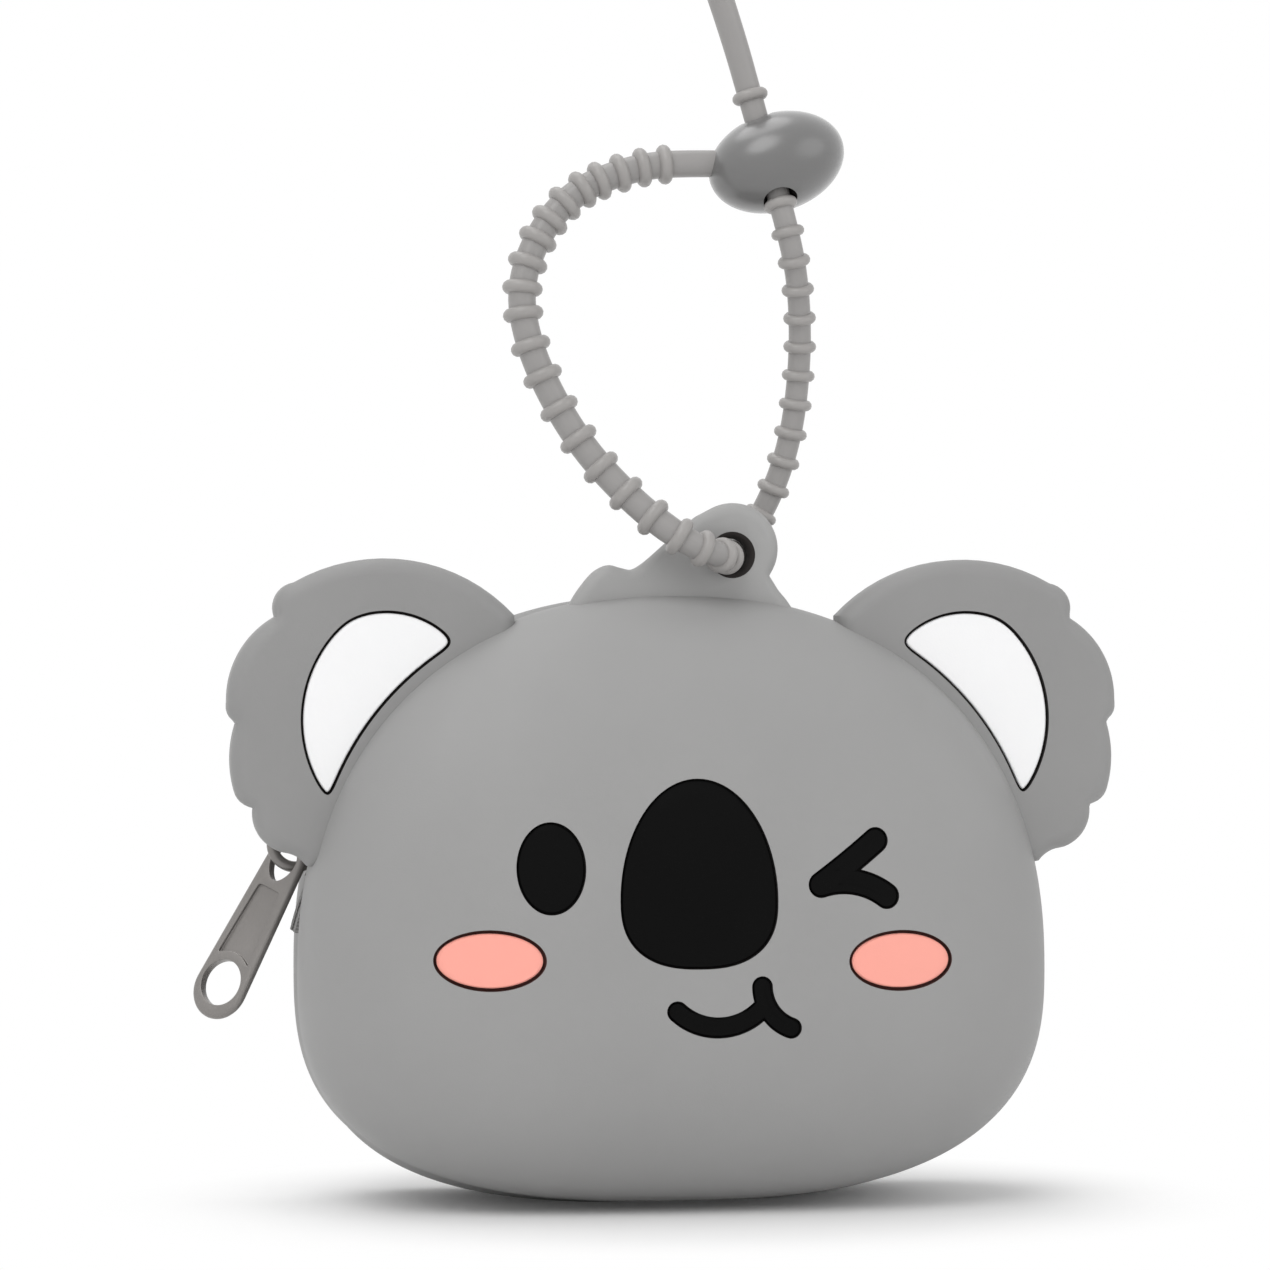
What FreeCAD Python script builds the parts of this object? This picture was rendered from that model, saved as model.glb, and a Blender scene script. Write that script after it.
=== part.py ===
"""A moulded silicone coin purse: a koala's head with a zip round its top edge and a wrist strap.

The front shell carries the ears, the strap's eye and the sunk face inlays. The back is one moulding that
bends: a fixed lower part, a fold and a flap that leans back when the zip is open. Millimetres, +Z up, the
front towards -Y, x = 0 on the head's middle plane, y = 0 on the zip's plane and z = 0 on the surface that the
purse stands on.
"""

import FreeCAD, Part
import math
import os

Vector = FreeCAD.Vector
X_AXIS, Y_AXIS, Z_AXIS = Vector(1, 0, 0), Vector(0, 1, 0), Vector(0, 0, 1)

# The head: its half width, its middle, what rises above that and what lies below it. The crown is nearly
# round, and the rims by the zip stand a little in from it.
HALF_WIDTH = 46.2
MIDDLE_Z = 29.0
CROWN_DROP = 0.2
CHIN_DEPTH = 29.8
RIM_INSET = 1.2
RIM_CHIN_INSET = 0.4
WALL = 2.4
CROWN_HEIGHT = HALF_WIDTH - CROWN_DROP
CROWN_TOP_Z = MIDDLE_Z + CROWN_HEIGHT
RIM_RADIUS = HALF_WIDTH - RIM_INSET
RIM_CHIN_DEPTH = CHIN_DEPTH - RIM_CHIN_INSET
CROWN_EXPONENT = 2.25
CHIN_EXPONENT = 2.45
QUARTER_STEPS = 8
OVERRUN = 5.0

# How deep the front and the back are, measured from the zip's plane.
RIM_DEPTH = 6.0
FRONT_BELLY_Y = -10.5
FRONT_DOME_DEPTH = 20.5
FRONT_DOME_EXPONENT = 2.3
BACK_BELLY_Y = 8.5
BACK_DOME_DEPTH = 8.5
BACK_DOME_EXPONENT = 2.6
DOME_STEP_SHARES = (0.3, 0.5, 0.7, 0.85, 0.94, 0.985)

# The zip: the gap between the rims, and the ring that the teeth lie on.
ZIP_HALF_GAP = 4.0
ZIP_END_Z = 32.6
ZIP_SINK = 1.4
ZIP_RADIUS = RIM_RADIUS - ZIP_SINK
TAPE_WIDTH = 3.5
TAPE_THICKNESS = 0.5
TAPE_EDGE_Y = 2.0
TAPE_FIT = 0.05
TAPE_END_ANGLE = 5.5
TOOTH_PITCH_ANGLE = 3.15
TOOTH_LENGTH = 0.95
TOOTH_THICKNESS = 1.5
TOOTH_HEAD_Y = 0.4
TOOTH_ROOT_Y = 1.0
TOOTH_CLAMP_Y = 2.6
FIRST_TOOTH_ANGLE = 15.2
STOP_LENGTH = 1.8
STOP_ANGLE = 12.0

# The flap leans back about the line through the zip's two ends.
FLAP_AXIS_Z = 33.0
FLAP_OPEN_ANGLE = 40.0
FOLD_SPARE_ANGLE = 6.0

# The slider, written where it stands on top of the ring, before it is turned to its place.
SLIDER_ANGLE = 21.5
SLIDER_SLOT = 2.4
PLATE_THICKNESS = 0.8
PLATE_HALF_WIDTH = 3.3
PLATE_HEAD_LENGTH = 5.0
PLATE_TAIL_LENGTH = 3.5
POST_THICKNESS = 0.5
POST_LENGTH = 2.4
POST_SETBACK = 0.6
BRIDGE_BORE = 2.5
BRIDGE_THICKNESS = 0.7
BRIDGE_WIDTH = 1.0
BRIDGE_PLACE = 2.6
BRIDGE_SEAT = 0.05

# The pull, hung on the bridge.
PULL_LENGTH = 23.9
PULL_THICKNESS = 1.2
PULL_EDGE = 0.35
PULL_BAR = 1.2
PULL_RING_WIDTH = 5.8
PULL_RING_SLOT_WIDTH = 3.9
PULL_RING_SLOT_LENGTH = 4.4
PULL_RING_SLOT_CORNER = 1.6
PULL_END_WIDTH = 7.8
PULL_EYE_RADIUS = 2.9
PULL_EYE_SETBACK = 0.7
PULL_PANEL_MARGIN = 1.0
PULL_PANEL_DEPTH = 0.3
PULL_TILT_ANGLE = 5.9
PULL_TWIST_ANGLE = 48.0

# The ears, each an outline of lobes between the head's crown and its side.
EAR_REACH = 8.9
EAR_WIDTH = 35.1
EAR_RISE = 4.3
EAR_HEIGHT = 37.3
EAR_TIP_X = HALF_WIDTH + EAR_REACH
EAR_ROOT_X = EAR_TIP_X - EAR_WIDTH
EAR_TOP_Z = CROWN_TOP_Z + EAR_RISE
EAR_FOOT_Z = EAR_TOP_Z - EAR_HEIGHT
EAR_FRONT_Y = -15.0
EAR_THICKNESS = 6.5
EAR_EDGE = 1.3
EAR_FACE_SHARE = 0.95
EAR_MIDDLE_SHARE = (0.55, 0.5)
EAR_START_SHARE = (0.0, 0.815)
EAR_LOBE_SHARES = (
    ((0.444, 1.0), (0.761, 0.922)),
    ((0.823, 0.882), (0.829, 0.810)),
    ((0.969, 0.660), (0.994, 0.531)),
    ((0.989, 0.493), (0.963, 0.468)),
    ((0.983, 0.359), (0.966, 0.239)),
    ((0.946, 0.209), (0.903, 0.190)),
    ((0.880, 0.097), (0.806, 0.046)),
    ((0.755, 0.032), (0.718, 0.0)),
)
EAR_ROOT_SHARES = ((0.45, 0.0), (0.0, 0.5))
EAR_INLAY_START_SHARE = (0.204, 0.724)
EAR_INLAY_SHARES = (
    ((0.358, 0.820), (0.584, 0.804)),
    ((0.739, 0.558), (0.642, 0.222)),
    ((0.462, 0.520), (0.204, 0.724)),
)
EAR_INLAY_CORNER = 0.9
EAR_POCKET_DEPTH = 1.2

# The strap's eye and the bump beside it, on the front shell's top.
EYE_X = 8.0
EYE_RISE = 5.5
EYE_RADIUS = 5.4
EYE_BORE = 2.6
BORE_ASIDE = 1.2
BORE_DROP = 1.1
EYE_FRONT_Y = -13.6
EYE_THICKNESS = 3.4
EYE_EDGE = 0.9
EYE_Z = CROWN_TOP_Z + EYE_RISE
EYE_MIDDLE_Y = EYE_FRONT_Y + EYE_THICKNESS / 2
BORE_X = EYE_X - BORE_ASIDE
BORE_Z = EYE_Z - BORE_DROP
BUMP_X = -7.6
BUMP_RISE = 3.6
BUMP_TOP_Z = CROWN_TOP_Z + BUMP_RISE
BUMP_RADIUS = 4.6
WEB_SINK = 6.0

# The face: inlays sunk in pockets of the front shell.
POCKET_DEPTH = 1.1
INLAY_RECESS = 0.3
INLAY_FIT = 0.15
INLAY_SEAT = 0.02
NOSE_WIDTH = 19.0
NOSE_HEIGHT = 22.6
NOSE_FOOT_Z = 30.3
NOSE_WAIST_SHARE = 0.36
NOSE_FOOT_EXPONENT = 2.5
EYE_INLAY_WIDTH = 8.2
EYE_INLAY_HEIGHT = 11.0
EYE_INLAY_X = -17.6
EYE_INLAY_Z = 42.3
CHEEK_WIDTH = 13.2
CHEEK_HEIGHT = 7.3
CHEEK_X = 24.8
CHEEK_Z = 31.0
STROKE_HALF_WIDTH = 1.35
WINK_X = 14.9
WINK_Z = 40.1
WINK_WIDTH = 8.2
WINK_HEIGHT = 5.5
WINK_STROKE_SHARES = (
    ((0.0, 0.0), (0.43, 0.46), (0.84, 0.93)),
    ((0.0, 0.0), (0.55, 0.04), (1.0, -0.26)),
)
MOUTH_X = -2.7
MOUTH_Z = 25.2
MOUTH_WIDTH = 14.0
MOUTH_HEIGHT = 5.4
MOUTH_STROKE_SHARES = (
    ((0.0, 0.0), (0.34, -0.37), (0.73, 0.03)),
    ((0.74, 0.54), (0.79, 0.06), (1.0, -0.40)),
)

# The strap: hand-chosen points, measured from the eye's middle, that lead from the toggle's neck round the
# loop, through the eye and the toggle, to its tip.
STRAP_ROUTE = (
    (-3.8, 1.2, 47.8),
    (-12.6, 0.9, 47.9),
    (-22.0, 0.3, 43.8),
    (-27.3, -0.5, 34.1),
    (-26.6, -1.5, 25.6),
    (-20.9, -2.9, 14.6),
    (-13.7, -4.7, 6.7),
    (-7.1, -7.0, 1.4),
    (-2.1, -4.8, -1.1),
    (-0.3, 4.8, -1.1),
    (3.9, 5.0, 5.1),
    (7.2, 2.9, 13.3),
    (8.6, 1.5, 23.5),
    (8.2, -2.7, 33.0),
    (6.6, -5.5, 40.5),
    (2.5, 1.7, 53.7),
    (0.3, 1.5, 64.5),
    (-3.1, 0.9, 74.1),
)
STRAP_NECK_RADIUS = 1.8
STRAP_LEG_RADIUS = 1.5
STRAP_TAIL_RADIUS = 1.6
STRAP_RUN_SHARE = 0.45
RIB_PITCH = 3.9
RIB_START_PITCH = 2.5
RIB_EASE_LENGTH = 40.0
RIB_HEIGHT_SHARE = 0.38
RIB_LENGTH = 1.5
RIB_CREST_SHARE = 0.5
FIRST_RIB = 5.8
STRAP_TIP_LENGTH = 1.2
STRAP_TIP_RADIUS = 0.9

# The toggle: a flattened bead that the strap is moulded to and runs back through, placed from the eye's
# middle.
BEAD_ASIDE = 4.8
BEAD_BEHIND = 1.2
BEAD_ABOVE = 47.75
BEAD_X = EYE_X + BEAD_ASIDE
BEAD_Y = EYE_MIDDLE_Y + BEAD_BEHIND
BEAD_Z = EYE_Z + BEAD_ABOVE
BEAD_HALF_WIDTH = 8.6
BEAD_HALF_DEPTH = 6.8
BEAD_HALF_HEIGHT = 6.05
BEAD_TILT_ANGLE = 18.0
BEAD_BORE_FIT = 0.5
BEAD_BORE_STEPS = 3
BEAD_NECK_RADIUS = 2.2


def box(low, high):
    """A block between two opposite corners."""
    return Part.makeBox(high.x - low.x, high.y - low.y, high.z - low.z, low)


def power(value, exponent):
    """A power that keeps the sign of its base."""
    return math.copysign(abs(value) ** exponent, value)


def place(x_share, z_share, origin, width, height):
    """A point of an outline in the XZ plane, from its shares of a width and a height."""
    return Vector(origin.x + x_share * width, 0, origin.z + z_share * height)


def egg_outline(middle, half_width, up, down, up_exponent, down_exponent):
    """A closed outline of four quarters in the XZ plane: a full curve above its middle and another below it."""
    edges = []
    for quarter in range(4):
        height, exponent = (up, 2 / up_exponent) if quarter < 2 else (down, 2 / down_exponent)
        ways = [Z_AXIS, X_AXIS * -1, Z_AXIS * -1, X_AXIS, Z_AXIS][quarter:quarter + 2]
        from_way, to_way = ways[0].cross(Y_AXIS) * -1, ways[0]
        points = []
        for step in range(QUARTER_STEPS + 1):
            angle = math.pi / 2 * step / QUARTER_STEPS
            out = from_way * (math.cos(angle) if step < QUARTER_STEPS else 0) + to_way * math.sin(angle)
            across, along = half_width * power(out.x, exponent), height * power(out.z, exponent)
            points.append(middle + Vector(across, 0, along))
        curve = Part.BSplineCurve()
        curve.interpolate(Points=points, InitialTangent=ways[0], FinalTangent=ways[1])
        edges.append(curve.toShape())
    return Part.Wire(edges)


def head_outline(share, y, half_width, crown, chin):
    """The head's closed outline at one depth, drawn to a share of its size about the head's middle."""
    middle = Vector(0, y, MIDDLE_Z)
    return egg_outline(middle, share * half_width, share * crown, share * chin, CROWN_EXPONENT, CHIN_EXPONENT)


def half_head(inset, belly_y, depth, dome_exponent):
    """One half of the head as a solid, drawn in by an inset: straight at the rim, then swelling, then domed."""
    half_width, crown, chin = HALF_WIDTH - inset, CROWN_HEIGHT - inset, CHIN_DEPTH - inset
    rim = RIM_RADIUS - inset
    rim_chin = RIM_CHIN_DEPTH - inset
    forward = math.copysign(1, belly_y)
    rims = [
        egg_outline(Vector(0, y, MIDDLE_Z), rim, rim, rim_chin, 2, CHIN_EXPONENT)
        for y in (0, forward * RIM_DEPTH)
    ]
    sections = [rims[1], head_outline(1, belly_y, half_width, crown, chin)]
    for step in DOME_STEP_SHARES:
        share = (1 - step**dome_exponent) ** (1 / dome_exponent)
        y = belly_y + forward * (depth - inset) * step
        sections.append(head_outline(share, y, half_width, crown, chin))
    band = Part.Face(rims[0]).extrude(Vector(0, forward * RIM_DEPTH, 0))
    return Part.makeLoft(sections, True, False, False, 3).fuse(band)


def front_half(inset=0):
    """The front of the head, drawn in by an inset."""
    return half_head(inset, FRONT_BELLY_Y, FRONT_DOME_DEPTH, FRONT_DOME_EXPONENT)


def back_half(inset=0):
    """The back of the head, drawn in by an inset."""
    return half_head(inset, BACK_BELLY_Y, BACK_DOME_DEPTH, BACK_DOME_EXPONENT)


def under_floor():
    """Everything below the surface that the purse stands on."""
    return box(Vector(-EAR_TIP_X, -EAR_TIP_X, -CHIN_DEPTH), Vector(EAR_TIP_X, EAR_TIP_X, 0))


def zip_gap():
    """The slot round the top of the head that the zip closes."""
    return box(Vector(-EAR_TIP_X, -ZIP_HALF_GAP, ZIP_END_Z), Vector(EAR_TIP_X, ZIP_HALF_GAP, 2 * EAR_TOP_Z))


def ring_band(inner, outer, low_y, high_y, end_angle):
    """A curved band about the zip ring's middle, between equal end angles above its left and its right."""
    half = Part.makeCylinder(outer, high_y - low_y, Vector(0, low_y, MIDDLE_Z), Y_AXIS)
    half = half.cut(Part.makeCylinder(inner, high_y - low_y, Vector(0, low_y, MIDDLE_Z), Y_AXIS))
    low_z = math.sin(math.radians(end_angle)) * ZIP_RADIUS
    keep = box(Vector(-outer, low_y, MIDDLE_Z + low_z), Vector(outer, high_y, MIDDLE_Z + outer + OVERRUN))
    return half.common(keep)


def turned(shape, angle):
    """A shape drawn on top of the zip's ring, turned to an angle above the ring's left end."""
    copy = shape.copy()
    copy.rotate(Vector(0, 0, MIDDLE_Z), Y_AXIS, angle - 90)
    return copy


def plate_from(edges, low_y, thickness):
    """A flat piece of a closed outline in the XZ plane, from a depth backwards."""
    wire = Part.Wire(Part.__sortEdges__(edges))
    wire.translate(Vector(0, low_y, 0))
    return Part.Face(wire).extrude(Vector(0, thickness, 0))


def arcs_from(start, stretches):
    """Arcs one after another: each stretch is a point on the way and the arc's end."""
    edges = []
    for middle, end in stretches:
        edges.append(Part.Arc(start, middle, end).toShape())
        start = end
    return edges


def mirrored(shape):
    """The same shape on the head's other side."""
    return shape.mirror(Vector(0, 0, 0), X_AXIS)


def ear_point(shares):
    """A point of the right ear's outline."""
    origin = Vector(EAR_ROOT_X, 0, EAR_FOOT_Z)
    return place(*shares, origin, EAR_TIP_X - EAR_ROOT_X, EAR_TOP_Z - EAR_FOOT_Z)


def right_ear():
    """The right ear with its bevelled edges; its root reaches into the head."""
    start = ear_point(EAR_START_SHARE)
    edges = arcs_from(start, [(ear_point(a), ear_point(b)) for a, b in EAR_LOBE_SHARES])
    corners = [ear_point(EAR_LOBE_SHARES[-1][1]), *map(ear_point, EAR_ROOT_SHARES), start]
    edges += [Part.makeLine(a, b) for a, b in zip(corners, corners[1:])]
    outline = Part.Wire(edges)
    middle = ear_point(EAR_MIDDLE_SHARE)
    back_y = EAR_FRONT_Y + EAR_THICKNESS
    sections = []
    for y, share in (
        (EAR_FRONT_Y, EAR_FACE_SHARE),
        (EAR_FRONT_Y + EAR_EDGE, 1),
        (back_y - EAR_EDGE, 1),
        (back_y, EAR_FACE_SHARE),
    ):
        section = outline.copy()
        section.scale(share, middle)
        section.translate(Vector(0, y, 0))
        sections.append(section)
    return Part.makeLoft(sections, True, True)


def right_ear_inlay(fit, front_y, depth):
    """The right ear's inlay, or its pocket where the fit is zero."""
    start = ear_point(EAR_INLAY_START_SHARE)
    edges = arcs_from(start, [(ear_point(a), ear_point(b)) for a, b in EAR_INLAY_SHARES])
    wire = Part.Wire(edges).makeOffset2D(-EAR_INLAY_CORNER - fit).makeOffset2D(EAR_INLAY_CORNER)
    wire.translate(Vector(0, front_y, 0))
    return Part.Face(wire).extrude(Vector(0, depth, 0))


def strap_eye():
    """The round eye, its web and the bump beside it, as one plate standing on the head's crown."""
    foot_z = BUMP_TOP_Z - BUMP_RADIUS - WEB_SINK
    top = Vector(EYE_X, 0, EYE_Z)
    front = Vector(0, EYE_FRONT_Y, 0)
    bump_at = Vector(BUMP_X, 0, BUMP_TOP_Z - BUMP_RADIUS)
    discs = []
    for radius, at in ((EYE_RADIUS, top), (BUMP_RADIUS, bump_at)):
        disc = Part.makeCylinder(radius, EYE_THICKNESS, at + front, Y_AXIS)
        rims = [e for e in disc.Edges if e.BoundBox.YLength < EYE_EDGE]
        discs.append(disc.makeFillet(EYE_EDGE, rims))
    ring, bump = discs
    lean = Vector(-1, 0, 1).normalize() * EYE_RADIUS
    corners = [
        top + lean,
        Vector(BUMP_X, 0, BUMP_TOP_Z - BUMP_RADIUS),
        Vector(BUMP_X, 0, foot_z),
        Vector(EYE_X + EYE_RADIUS, 0, foot_z),
        Vector(EYE_X + EYE_RADIUS, 0, EYE_Z),
    ]
    outline = Part.makePolygon([*corners, corners[0]])
    web = plate_from(outline.Edges, EYE_FRONT_Y + EYE_EDGE, EYE_THICKNESS - 2 * EYE_EDGE)
    plate = ring.fuse([bump, web]).removeSplitter()
    bore_from = Vector(BORE_X, EYE_FRONT_Y - OVERRUN, BORE_Z)
    bore = Part.makeCylinder(EYE_BORE, EYE_THICKNESS + 2 * OVERRUN, bore_from, Y_AXIS)
    return plate, bore


def ellipse_face(centre, width, height, y):
    """A level or upright ellipse in the XZ plane."""
    long_way, short_way = max(width, height) / 2, min(width, height) / 2
    curve = Part.Ellipse(Vector(0, 0, 0), long_way, short_way)
    wire = Part.Wire([curve.toShape()])
    wire.rotate(Vector(0, 0, 0), X_AXIS, 90)
    if height > width:
        wire.rotate(Vector(0, 0, 0), Y_AXIS, 90)
    wire.translate(centre + Vector(0, y, 0))
    return Part.Face(wire)


def nose_face(fit, y):
    """An egg that stands on its broad end."""
    foot, tall = NOSE_FOOT_Z + fit, NOSE_HEIGHT - 2 * fit
    low = NOSE_WAIST_SHARE * tall
    middle = Vector(0, y, foot + low)
    return Part.Face(egg_outline(middle, NOSE_WIDTH / 2 - fit, tall - low, low, 2, NOSE_FOOT_EXPONENT))


def stroke_face(points, half_width, y):
    """A brush stroke of one width along the arc through three points, with round ends."""
    first, middle, last = points
    circle = Part.Arc(first, middle, last).toShape().Curve
    centre, radius = circle.Center, circle.Radius
    side = math.copysign(1, (middle - first).cross(last - middle).y)

    def beside(point, offset):
        return centre + (point - centre).normalize() * (radius + offset)

    def cap(point, way):
        out = Y_AXIS.cross(point - centre).normalize() * (side * way * half_width)
        return Part.Arc(beside(point, half_width), point + out, beside(point, -half_width)).toShape()

    edges = [
        Part.Arc(*(beside(p, half_width) for p in points)).toShape(),
        Part.Arc(*(beside(p, -half_width) for p in points)).toShape(),
        cap(first, -1),
        cap(last, 1),
    ]
    wire = Part.Wire(Part.__sortEdges__(edges))
    wire.translate(Vector(0, y, 0))
    return Part.Face(wire)


def strokes(shares, origin, width, height, fit, y, length):
    """Several strokes joined to one solid."""
    solids = []
    for three in shares:
        points = [place(*p, origin, width, height) for p in three]
        solids.append(stroke_face(points, STROKE_HALF_WIDTH - fit, y).extrude(Vector(0, length, 0)))
    return solids[0].fuse(solids[1:]).removeSplitter()


def face_prisms(fit):
    """Each face inlay's outline as a long bar through the front of the head."""
    far_y = FRONT_BELLY_Y - FRONT_DOME_DEPTH - OVERRUN
    length = FRONT_DOME_DEPTH + OVERRUN
    along = Vector(0, length, 0)
    eye_at, cheek_at = Vector(EYE_INLAY_X, 0, EYE_INLAY_Z), Vector(CHEEK_X, 0, CHEEK_Z)
    eye = ellipse_face(eye_at, EYE_INLAY_WIDTH - 2 * fit, EYE_INLAY_HEIGHT - 2 * fit, far_y)
    cheek = ellipse_face(cheek_at, CHEEK_WIDTH - 2 * fit, CHEEK_HEIGHT - 2 * fit, far_y).extrude(along)
    wink_at, mouth_at = Vector(WINK_X, 0, WINK_Z), Vector(MOUTH_X, 0, MOUTH_Z)
    return {
        "nose_inlay": nose_face(fit, far_y).extrude(along),
        "open_eye_inlay": eye.extrude(along),
        "right_cheek_inlay": cheek,
        "left_cheek_inlay": mirrored(cheek),
        "wink_inlay": strokes(WINK_STROKE_SHARES, wink_at, WINK_WIDTH, WINK_HEIGHT, fit, far_y, length),
        "mouth_inlay": strokes(MOUTH_STROKE_SHARES, mouth_at, MOUTH_WIDTH, MOUTH_HEIGHT, fit, far_y, length),
    }


def tape_band(side, fit=0):
    """One zip tape, or its groove in the rim where it has a fit."""
    thick = TAPE_THICKNESS / 2 + fit
    low, high = TAPE_EDGE_Y, TAPE_EDGE_Y + TAPE_WIDTH + fit
    low_y, high_y = (low, high) if side > 0 else (-high, -low)
    return ring_band(ZIP_RADIUS - thick, ZIP_RADIUS + thick, low_y, high_y, TAPE_END_ANGLE)


def tooth(side, length):
    """One zip tooth on top of the ring: a head by the zip's plane and two jaws that grip the tape's edge."""
    jaw, half = TAPE_THICKNESS / 2 + TAPE_FIT, TOOTH_THICKNESS / 2
    profile = (
        (TOOTH_HEAD_Y, -half),
        (TOOTH_HEAD_Y, half),
        (TOOTH_CLAMP_Y, half),
        (TOOTH_CLAMP_Y, jaw),
        (TOOTH_ROOT_Y, jaw),
        (TOOTH_ROOT_Y, -jaw),
        (TOOTH_CLAMP_Y, -jaw),
        (TOOTH_CLAMP_Y, -half),
    )
    corners = [Vector(-length / 2, side * y, MIDDLE_Z + ZIP_RADIUS + z) for y, z in profile]
    return Part.Face(Part.makePolygon([*corners, corners[0]])).extrude(Vector(length, 0, 0))


def tooth_row(side, first_angle):
    """All the teeth of one side, as separate solids."""
    one, row, angle = tooth(side, TOOTH_LENGTH), [], first_angle
    while angle <= 180 - FIRST_TOOTH_ANGLE:
        row.append(turned(one, angle))
        angle += TOOTH_PITCH_ANGLE
    return Part.makeCompound(row)


def slider():
    """Two plates joined by a post, with the pull's bridge; the tail points to the zip's left end."""
    top = MIDDLE_Z + ZIP_RADIUS
    round_at = PLATE_HALF_WIDTH - PLATE_TAIL_LENGTH

    def plate(low_z):
        body = box(
            Vector(round_at, -PLATE_HALF_WIDTH, low_z),
            Vector(PLATE_HEAD_LENGTH, PLATE_HALF_WIDTH, low_z + PLATE_THICKNESS),
        )
        tail = Part.makeCylinder(PLATE_HALF_WIDTH, PLATE_THICKNESS, Vector(round_at, 0, low_z), Z_AXIS)
        return body.fuse(tail)

    upper_z, lower_z = top + SLIDER_SLOT / 2, top - SLIDER_SLOT / 2 - PLATE_THICKNESS
    post_x = POST_SETBACK - PLATE_TAIL_LENGTH
    post = box(
        Vector(post_x, -POST_THICKNESS / 2, lower_z),
        Vector(post_x + POST_LENGTH, POST_THICKNESS / 2, upper_z + PLATE_THICKNESS),
    )
    centre, outer = bridge_centre(), BRIDGE_BORE + BRIDGE_THICKNESS
    side = Vector(0, BRIDGE_WIDTH / 2, 0)
    bridge = Part.makeCylinder(outer, BRIDGE_WIDTH, centre - side, Y_AXIS)
    tongue = box(
        Vector(centre.x - outer, -BRIDGE_WIDTH / 2, upper_z),
        Vector(0, BRIDGE_WIDTH / 2, upper_z + PLATE_THICKNESS),
    )
    below = box(
        Vector(centre.x - outer, -BRIDGE_WIDTH, MIDDLE_Z), Vector(centre.x + outer, BRIDGE_WIDTH, upper_z)
    )
    gap = Part.makeCylinder(BRIDGE_BORE, BRIDGE_WIDTH, centre - side, Y_AXIS)
    head = bridge.cut(below).cut(gap)
    return plate(upper_z).fuse([plate(lower_z), post, tongue, head]).removeSplitter()


def bridge_centre():
    """The middle of the bridge's gap, with the slider on top of the ring."""
    height = MIDDLE_Z + ZIP_RADIUS + SLIDER_SLOT / 2 + PLATE_THICKNESS + BRIDGE_BORE - BRIDGE_SEAT
    return Vector(-BRIDGE_PLACE, 0, height)


def pull():
    """The pull, drawn along +X from the bar in the bridge, flat in the XY plane, then twisted and hung."""
    half, ring, end = PULL_THICKNESS / 2, PULL_RING_WIDTH / 2, PULL_END_WIDTH / 2
    head_x, tail_x = ring - PULL_BAR / 2, PULL_LENGTH - end
    low = Vector(0, 0, -half)
    tip, top = Vector(PULL_LENGTH, 0, 0), Vector(-PULL_BAR / 2, 0, 0)
    ways = ((head_x, ring), (tail_x, end), (tail_x, -end), (head_x, -ring))
    corners = [Vector(x, y, 0) for x, y in ways]
    edges = [
        Part.makeLine(corners[0], corners[1]),
        Part.Arc(corners[1], tip, corners[2]).toShape(),
        Part.makeLine(corners[2], corners[3]),
        Part.Arc(corners[3], top, corners[0]).toShape(),
    ]
    wire = Part.Wire(edges)
    wire.translate(low)
    body = Part.Face(wire).extrude(Vector(0, 0, PULL_THICKNESS))
    slot_half = PULL_RING_SLOT_WIDTH / 2
    near_x = PULL_BAR / 2
    through = Vector(0, 0, -PULL_THICKNESS)
    slot = box(
        Vector(near_x, -slot_half, -PULL_THICKNESS),
        Vector(near_x + PULL_RING_SLOT_LENGTH, slot_half, PULL_THICKNESS),
    )
    corners = [e for e in slot.Edges if e.BoundBox.ZLength > PULL_THICKNESS]
    body = body.cut(slot.makeFillet(PULL_RING_SLOT_CORNER, corners))
    rims = [e for e in body.Edges if abs(abs(e.BoundBox.Center.z) - half) < PULL_EDGE / 2]
    body = body.makeFillet(PULL_EDGE, rims)
    eye_x = tail_x - PULL_EYE_SETBACK
    eye_low = Vector(eye_x, 0, 0) + through
    body = body.cut(Part.makeCylinder(PULL_EYE_RADIUS, 2 * PULL_THICKNESS, eye_low, Z_AXIS))
    eye_rim = Part.makeCylinder(PULL_EYE_RADIUS + PULL_PANEL_MARGIN, 2 * PULL_THICKNESS, eye_low, Z_AXIS)
    panel_low = PULL_BAR / 2 + PULL_RING_SLOT_LENGTH + PULL_PANEL_MARGIN
    near, far = ring - PULL_PANEL_MARGIN, end - PULL_PANEL_MARGIN
    for face_z in (half - PULL_PANEL_DEPTH, -half - PULL_PANEL_DEPTH):
        corners = [
            Vector(panel_low, near, face_z),
            Vector(eye_x, far, face_z),
            Vector(eye_x, -far, face_z),
            Vector(panel_low, -near, face_z),
        ]
        panel = Part.Face(Part.makePolygon([*corners, corners[0]])).extrude(Vector(0, 0, 2 * PULL_PANEL_DEPTH))
        body = body.cut(panel.cut(eye_rim))
    body.rotate(Vector(0, 0, 0), X_AXIS, -PULL_TWIST_ANGLE)
    body.rotate(Vector(0, 0, 0), Y_AXIS, 180 + PULL_TILT_ANGLE)
    body.translate(bridge_centre())
    return body


def strap_points():
    """The strap's route in the purse's frame."""
    return [Vector(EYE_X + x, EYE_MIDDLE_Y + y, EYE_Z + z) for x, y, z in STRAP_ROUTE]


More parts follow.
